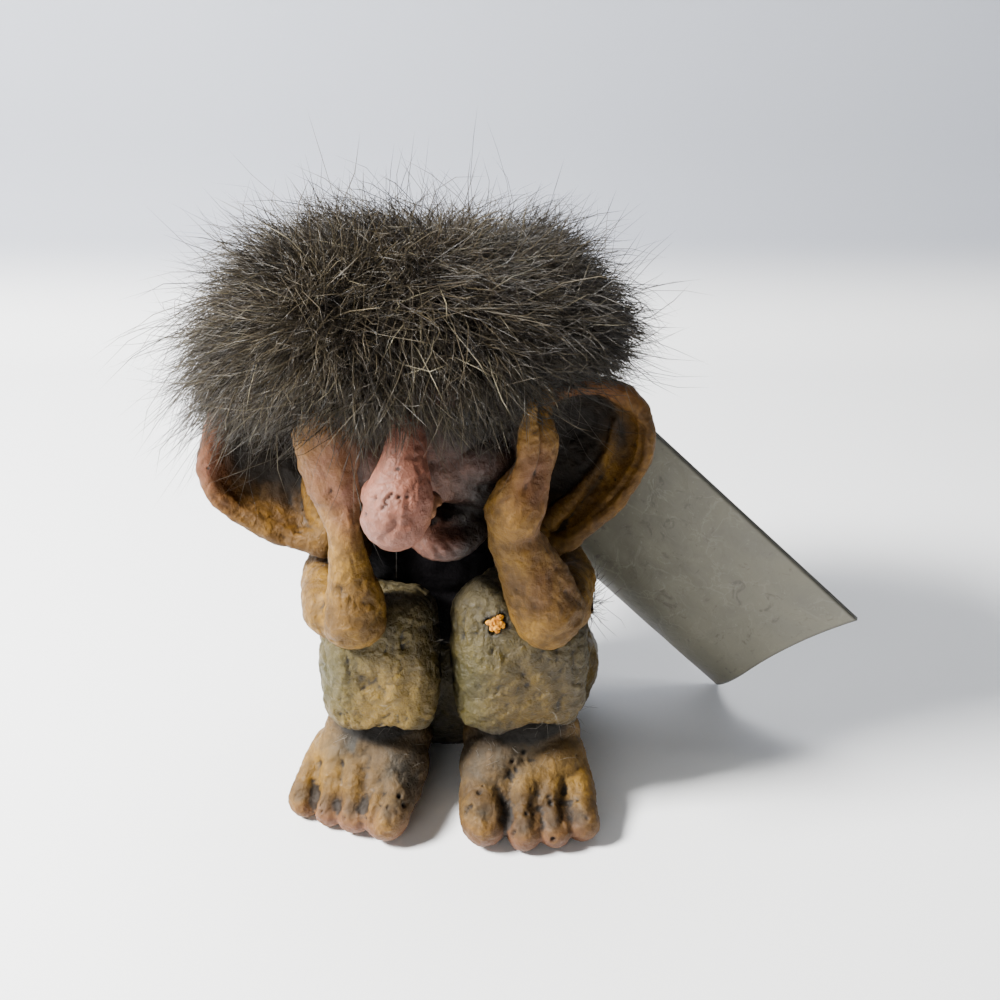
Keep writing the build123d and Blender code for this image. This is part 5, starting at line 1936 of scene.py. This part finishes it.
@dataclass
class HangTag:
    """A folded card of two leaves, bowed across its width, with a string hole.

    Args:
        corner: its lower corner, where its flat edge starts.
        heading, slope, roll: how it is turned, in degrees.
        long: its length.
        flat_wide: the flat part of its width.
        bow_radius, bow_turn: radius and turn of the part that is bowed.
        leaf: the thickness of a leaf, with half of the gap between the two.
        gap: how far each leaf stays clear of the fold's middle.
        hole_in, hole: how far the string hole lies from both edges, and its diameter.
        scoop: how far the lower edge hangs in the middle.
        hole_cut, hole_snap: how far inside the hole's rim points are dropped, and how far
            outside it they are drawn to it.
        across_steps, along_steps: faces across and along a leaf.
        waves: height, width and length of the waves of its surface.
        seed: the seed of its waves.
    """

    corner: Place = (77.0, -9.4, 29.5)
    heading: float = 166.0
    slope: float = 40.2
    roll: float = 81.1
    long: float = 58.0
    flat_wide: float = 26.0
    bow_radius: float = 16.0
    bow_turn: float = 58.0
    leaf: float = 0.45
    gap: float = 0.03
    hole_in: float = 5.0
    hole: float = 3.0
    scoop: float = 2.6
    hole_cut: float = 0.25
    hole_snap: float = 0.55
    across_steps: int = 60
    along_steps: int = 84
    waves: tuple[Place, ...] = ((0.35, 14, 17), (0.10, 4, 5))
    seed: float = 1.5

    def _axes(self) -> tuple[Vector, Vector, Vector]:
        """The directions along the card, across it and out of its front."""
        heading, slope, roll = (math.radians(turn) for turn in (self.heading, self.slope, self.roll))
        along = Vector(
            (math.cos(slope) * math.cos(heading), math.cos(slope) * math.sin(heading), math.sin(slope))
        )
        level = along.cross(Vector((0, 0, 1))).normalized()
        across = level * math.cos(roll) + along.cross(level) * math.sin(roll)
        return along, across, along.cross(across)

    def _noise(self, u: float, v: float, wide: float, high: float, shift: float = 0.0) -> float:
        """A noise over the card, with waves of this width and height."""
        return noise.noise(Vector((u / wide, v / high, self.seed + shift)))

    def _leaf(self, name: str, low: float, high: float, finishes: Finishes) -> bpy.types.Object:
        """Model and dress one leaf, between two distances from the fold's middle."""
        along, across, facing = self._axes()
        wide = self.flat_wide + self.bow_radius * math.radians(self.bow_turn)
        card = bmesh.new()
        steps = {"x_segments": self.across_steps, "y_segments": self.along_steps}
        bmesh.ops.create_grid(card, size=0.5, **steps)
        marks: dict[bmesh.types.BMVert, tuple[float, float, float, float]] = {}
        hole = Vector((self.hole_in, self.long - self.hole_in))
        gone = []
        for vert in card.verts:
            u = (vert.co.x + 0.5) * wide
            v = (vert.co.y + 0.5) * self.long
            reach = (Vector((u, v)) - hole).length
            if reach < self.hole / 2 - self.hole_cut:
                gone.append(vert)
            elif reach < self.hole / 2 + self.hole_snap:
                u, v = hole + (Vector((u, v)) - hole) * (self.hole / 2 / reach)
            bend = max(u - self.flat_wide, 0) / self.bow_radius
            side = min(u, self.flat_wide) + self.bow_radius * math.sin(bend)
            place = Vector((side, self.bow_radius * (math.cos(bend) - 1)))
            lift = Vector((math.sin(bend), math.cos(bend)))
            wave = sum(rise * self._noise(u, v, *sizes) for rise, *sizes in self.waves)
            edge = min(u, v, wide - u, self.long - v)
            wave *= min(edge / 3, 1) * 0.8
            middle = (low + high) / 2 + wave
            hang = 4 * (u / wide) * (1 - u / wide) * self.scoop * max(1 - v / 16, 0) ** 2
            x, y = place.x + lift.x * middle, place.y + lift.y * middle
            nick = 0.12 * self._noise(u, v, 1.3, 1.3, 4)
            # Painted light and shade: the card is paler towards its lower end, darker towards its top.
            light = v / self.long
            marks[vert] = (1 - light * 0.9, max(0.0, 1 - edge / (0.6 + nick)), 0.0, 1.0)
            vert.co = Vector(self.corner) + along * (v + hang) + across * x + facing * y
        values = [marks[vert] for vert in card.verts if vert not in set(gone)]
        bmesh.ops.delete(card, geom=gone, context="VERTS")
        bmesh.ops.recalc_face_normals(card, faces=card.faces[:])
        mesh = mesh_of(card, name)
        mesh.transform(Matrix.Scale(METRES_PER_MM, 4))
        keep_colours(mesh, "card", np.array(values))
        mesh.materials.append(finishes.card)
        mesh.shade_smooth()
        piece = add_object(name, mesh)
        wall = piece.modifiers.new("wall", "SOLIDIFY")
        wall.thickness = (high - low) * METRES_PER_MM
        wall.offset = 0
        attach(piece, TAG)
        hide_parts(name)
        return piece

    def build(self, finishes: Finishes) -> list[bpy.types.Object]:
        """Model both leaves."""
        front = self._leaf("tag_front_leaf", self.gap, self.leaf, finishes)
        back = self._leaf("tag_back_leaf", -self.leaf, -self.gap, finishes)
        return [front, back]


# Surroundings


@dataclass
class Studio:
    """A plain pale floor that curves up into a wall, and soft light from the upper left.

    Its sizes are in metres.
    """

    floor_colour: Colour = (0.86, 0.87, 0.875)
    # The wall's own grey, darkened as painted shade for the less light that it gets.
    wall_colour: Colour = (0.34, 0.36, 0.41)
    roughness: float = 0.62
    specular: float = 0.25
    half_wide: float = 1.6
    front: float = -1.2
    back: float = 0.19
    curve: float = 0.07
    curve_steps: int = 12
    wall_top: float = 1.6
    sky: Colour = (0.80, 0.84, 0.90)
    sky_strength: float = 0.13

    def build(self) -> None:
        """Make the floor, the lights and the world."""
        cove = bmesh.new()
        profile = [(self.front, 0.0), (self.back, 0.0)]
        for step in range(1, self.curve_steps + 1):
            turn = math.pi / 2 * step / self.curve_steps
            rise = self.curve * (1 - math.cos(turn))
            profile.append((self.back + self.curve * math.sin(turn), rise))
        profile.append((self.back + self.curve, self.wall_top))
        line = [cove.verts.new((-self.half_wide, *place)) for place in profile]
        for pair in zip(line, line[1:]):
            cove.edges.new(pair)
        fresh, _ = extrude(cove, cove.edges[:])
        bmesh.ops.translate(cove, verts=fresh, vec=(2 * self.half_wide, 0, 0))
        bmesh.ops.recalc_face_normals(cove, faces=cove.faces[:])
        mesh = mesh_of(cove, "floor")
        surface = Surface("studio_floor", self.roughness, self.specular)
        nodes = surface.nodes
        parts = nodes.add("SeparateXYZ", {}, {"Vector": surface.place()}).outputs
        # The floor turns into the darker wall: the wall's own grey together with painted shade.
        colour = nodes.mix(nodes.ramp(parts[2], 0.002, 0.035), self.floor_colour, self.wall_colour)
        surface.feed("Base Color", colour)
        mesh.materials.append(surface.material)
        mesh.shade_smooth()
        floor = add_object("floor", mesh)
        self._lamp("key", (-0.40, -0.13, 0.42), (0, -0.01, 0.05), 0.13, 18.5, (1.0, 0.985, 0.96))
        self._lamp("front", (-0.25, -0.60, 0.30), (0, 0, 0.05), 0.40, 1.1, (1.0, 0.98, 0.96))
        self._lamp("rim", (0.0, 0.22, 0.60), (0, 0, 0.06), 0.30, 2.6, (1.0, 1.0, 1.0))
        world = bpy.data.worlds.new("studio_light")
        bpy.context.scene.world = world
        world.use_nodes = True
        inputs = world.node_tree.nodes["Background"].inputs
        inputs["Color"].default_value = (*self.sky, 1)
        inputs["Strength"].default_value = self.sky_strength

    def _lamp(
        self, name: str, place: Place, aim: Place, size: float, power: float, colour: Colour
    ) -> None:
        """Add a soft square lamp that faces a place, in metres and watts."""
        data = bpy.data.lights.new(name, "AREA")
        data.shape = "SQUARE"
        data.size = size
        data.energy = power
        data.color = colour
        lamp = add_object(name, data)
        lamp.location = place
        lamp.rotation_euler = (Vector(aim) - Vector(place)).to_track_quat("-Z", "Y").to_euler()


# The whole figure


def make_legs() -> list[TrouserLeg]:
    """Both trouser legs, with their own places."""
    right = TrouserLeg(
        Side.RIGHT, 10.8, 20.4, 43.5,
        [[(352, 664), (362, 680), (380, 690)], [(405, 640), (412, 668), (408, 700)]],
        [((430, 625), 30, 6.5), ((425, 650), 18, 8.0), ((380, 715), 14, 5.0)],
    )
    knee_chip = [
        (484, 622), (487, 618), (496, 618), (503, 612), (508, 616), (505, 622), (509, 627),
        (500, 628), (496, 636), (490, 634), (489, 627),
    ]
    left = TrouserLeg(
        Side.LEFT, 13.2, 24.0, 46.0,
        [[(498, 650), (520, 668), (528, 690)], [(552, 672), (560, 690), (556, 708)]],
        [((470, 625), 14, 5.0), ((540, 690), 10, 6.0), ((560, 722), 26, 7.0)],
        [knee_chip],
    )
    return [right, left]


def make_feet() -> list[Foot]:
    """Both feet, with their own places."""
    right = Foot(
        Side.RIGHT, 11.7, 15.0, RIGHT_TOES, RIGHT_CLEFTS, RIGHT_NAILS, RIGHT_HOLES,
        RIGHT_FOOT_FUZZ, inset=1.8,
    )
    left = Foot(
        Side.LEFT, 14.1, 3.0, LEFT_TOES, LEFT_CLEFTS, LEFT_NAILS, LEFT_HOLES, LEFT_FOOT_FUZZ
    )
    return [right, left]


def make_arms() -> list[Arm]:
    """Both arms, with their own places."""
    right = Arm(
        side=Side.RIGHT,
        forearm=[
            (524, 326, 362, -26.4), (545, 328, 364, -26.8), (570, 327, 371, -27.0),
            (598, 325, 383, -27.4), (617, 322, 388, -27.8),
        ],
        upper=[(610, 303, 356, -25.0), (590, 302, 350, -20.0), (571, 304, 350, -13.0)],
        hand=[
            (424, 291, 374, -21.4), (445, 292, 372, -22.4), (467, 300, 367, -23.4),
            (488, 309, 363, -24.4), (508, 318, 361, -25.4), (526, 325, 362, -26.4),
        ],
        hand_flat=(1.0, 0.74, 0.9),
        fingers=[
            ([(-20.0, -19.4, 72.0), (-22.6, -15.8, 80.0)], [2.4, 2.0]),
            ([(-16.6, -21.0, 73.0), (-18.6, -18.2, 81.5)], [2.5, 2.1]),
            ([(-12.6, -22.4, 73.0), (-14.0, -20.6, 81.5)], [2.5, 2.1]),
        ],
        tendons=[
            [(312, 446), (328, 482), (339, 508)],
            [(346, 440), (351, 476), (354, 506)],
        ],
        folds=[
            [(334, 640), (352, 641), (372, 630), (384, 612)],
            [(342, 590), (356, 602), (372, 604)],
        ],
        blush=[((-14.5, -26, 69), (8, 8, 8), 0.8), ((-12.5, -28, 62), (4, 5, 5), 0.4)],
        shade=[((-5.5, -25.0, 46.0), (4, 6, 10), 0.55), ((-23.5, -18.0, 55.0), (5, 9, 5), 0.6)],
        shoulder=(-13.0, 1.5, 48.5),
    )
    left = Arm(
        side=Side.LEFT,
        forearm=[
            (515, 485, 544, -27.3), (535, 488, 541, -27.4), (560, 495, 556, -27.4),
            (586, 502, 573, -27.4), (612, 511, 586, -27.4),
        ],
        upper=[(606, 532, 591, -24.0), (588, 544, 592, -19.0), (572, 550, 592, -12.0)],
        hand=[
            (418, 520, 546, -22.0), (434, 518, 558, -22.4), (456, 516, 558, -23.2),
            (478, 508, 553, -24.8), (497, 493, 548, -26.4), (515, 485, 544, -27.3),
        ],
        hand_flat=(1.0, 1.05, 1.0),
        fingers=[
            ([(12.9, -28.2, 67.0), (14.2, -27.6, 72.0), (14.6, -26.2, 80.0)], [1.5, 1.7, 1.5]),
            ([(15.4, -22.0, 72.0), (16.6, -20.8, 81.0)], [2.4, 2.0]),
            ([(15.6, -18.2, 72.0), (16.8, -16.4, 80.5)], [2.4, 2.0]),
        ],
        tendons=[
            [(536, 425), (533, 460), (527, 492)],
            [(547, 430), (543, 465), (536, 500)],
            [(554, 470), (548, 500), (541, 525)],
        ],
        folds=[
            [(548, 640), (562, 636), (578, 620)],
            [(560, 570), (566, 590), (584, 606)],
        ],
        blush=[((15.0, -26, 67), (4, 6, 8), 0.75), ((18.0, -30, 50), (5, 5, 6), 0.3)],
        shade=[((7.0, -24.0, 50.0), (4, 6, 10), 0.5), ((24.0, -18.0, 53.0), (5, 9, 5), 0.4)],
        shoulder=(13.0, 1.5, 48.5),
    )
    return [right, left]


def make_ears() -> list[Ear]:
    """Both ears, with their own places."""
    right = Ear(
        side=Side.RIGHT,
        rim=[
            (-20.5, -15.5, 49.6), (-27.0, -15.5, 50.8), (-33.5, -15.2, 54.0), (-38.4, -14.6, 58.4),
            (-39.6, -13.6, 64.0), (-37.2, -12.6, 71.5), (-32.0, -11.8, 77.0), (-25.5, -11.4, 78.5),
            (-19.5, -12.0, 74.0), (-16.6, -13.0, 66.0), (-16.6, -14.2, 57.0),
        ],
        rim_radii=[2.8, 1.9, 1.6, 1.6, 1.8, 1.8, 1.6, 1.5, 1.5, 1.5, 2.2],
        centre=(-28.0, -12.8, 63.5),
        folds=[
            (
                [(-20.4, -13.6, 52.0), (-22.4, -12.0, 57.0), (-22.6, -10.8, 63.0), (-24.4, -10.0, 70.0)],
                [2.6, 2.3, 1.8, 1.2],
            ),
        ],
        dents=[[(215, 500), (250, 520), (290, 540)], [(283, 470), (290, 500), (300, 530)]],
        blush=((-39.0, -15.0, 68.0), (4, 6, 10), 0.9),
        bright=[((-21.0, -15.0, 54.0), (3.0, 4.0, 5.0))],
    )
    left = Ear(
        side=Side.LEFT,
        rim=[
            (17.5, -15.0, 48.0), (22.5, -15.4, 50.4), (27.4, -15.4, 54.6), (31.6, -15.0, 60.0),
            (34.4, -14.2, 66.4), (33.6, -13.0, 72.6), (29.4, -12.2, 76.6), (23.6, -12.0, 77.6),
            (17.8, -12.4, 75.6), (13.6, -13.0, 69.0), (13.2, -14.0, 57.0),
        ],
        rim_radii=[2.6, 1.8, 1.5, 1.5, 1.7, 1.9, 1.9, 1.8, 1.7, 1.6, 2.2],
        centre=(23.6, -13.0, 64.0),
        folds=[
            (
                [(19.0, -13.4, 53.0), (24.0, -11.6, 58.0), (28.4, -10.4, 64.0), (29.8, -9.6, 70.0)],
                [2.0, 1.3, 1.2, 0.8],
            ),
        ],
        dents=[[(640, 430), (632, 470), (600, 510)]],
        blush=((24.0, -13.0, 78.5), (11, 5, 3.6), 0.6),
        bright=[((28.8, -12.0, 64.0), (1.4, 3.0, 5.0)), ((20.0, -15.0, 52.0), (4, 4.0, 4.0))],
    )
    return [right, left]


def main() -> None:
    """Load the frame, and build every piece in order."""
    logging.basicConfig(level=logging.INFO, format="%(name)s %(message)s")
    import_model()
    noise.seed_set(NOISE_SEED)
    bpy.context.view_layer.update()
    SIGHT.build()
    finishes = Finishes()
    Studio().build()
    for leg in make_legs():
        leg.build(finishes)
    for foot in make_feet():
        foot.build(finishes)
    trunk = Trunk()
    trunk.build_seat(finishes)
    trunk.build_trunk(finishes)
    for arm in make_arms():
        arm.build(finishes)
    Head().build(finishes)
    for ear in make_ears():
        ear.build(finishes)
    Mop().build(finishes)
    Tail().build(finishes)
    HangTag().build(finishes)
    for name in ("trunk_foam", "head_foam", "right_leg_foam", "left_leg_foam"):
        dress_node(bpy.data.objects[name], finishes.foam)


if __name__ == "__main__":
    main()
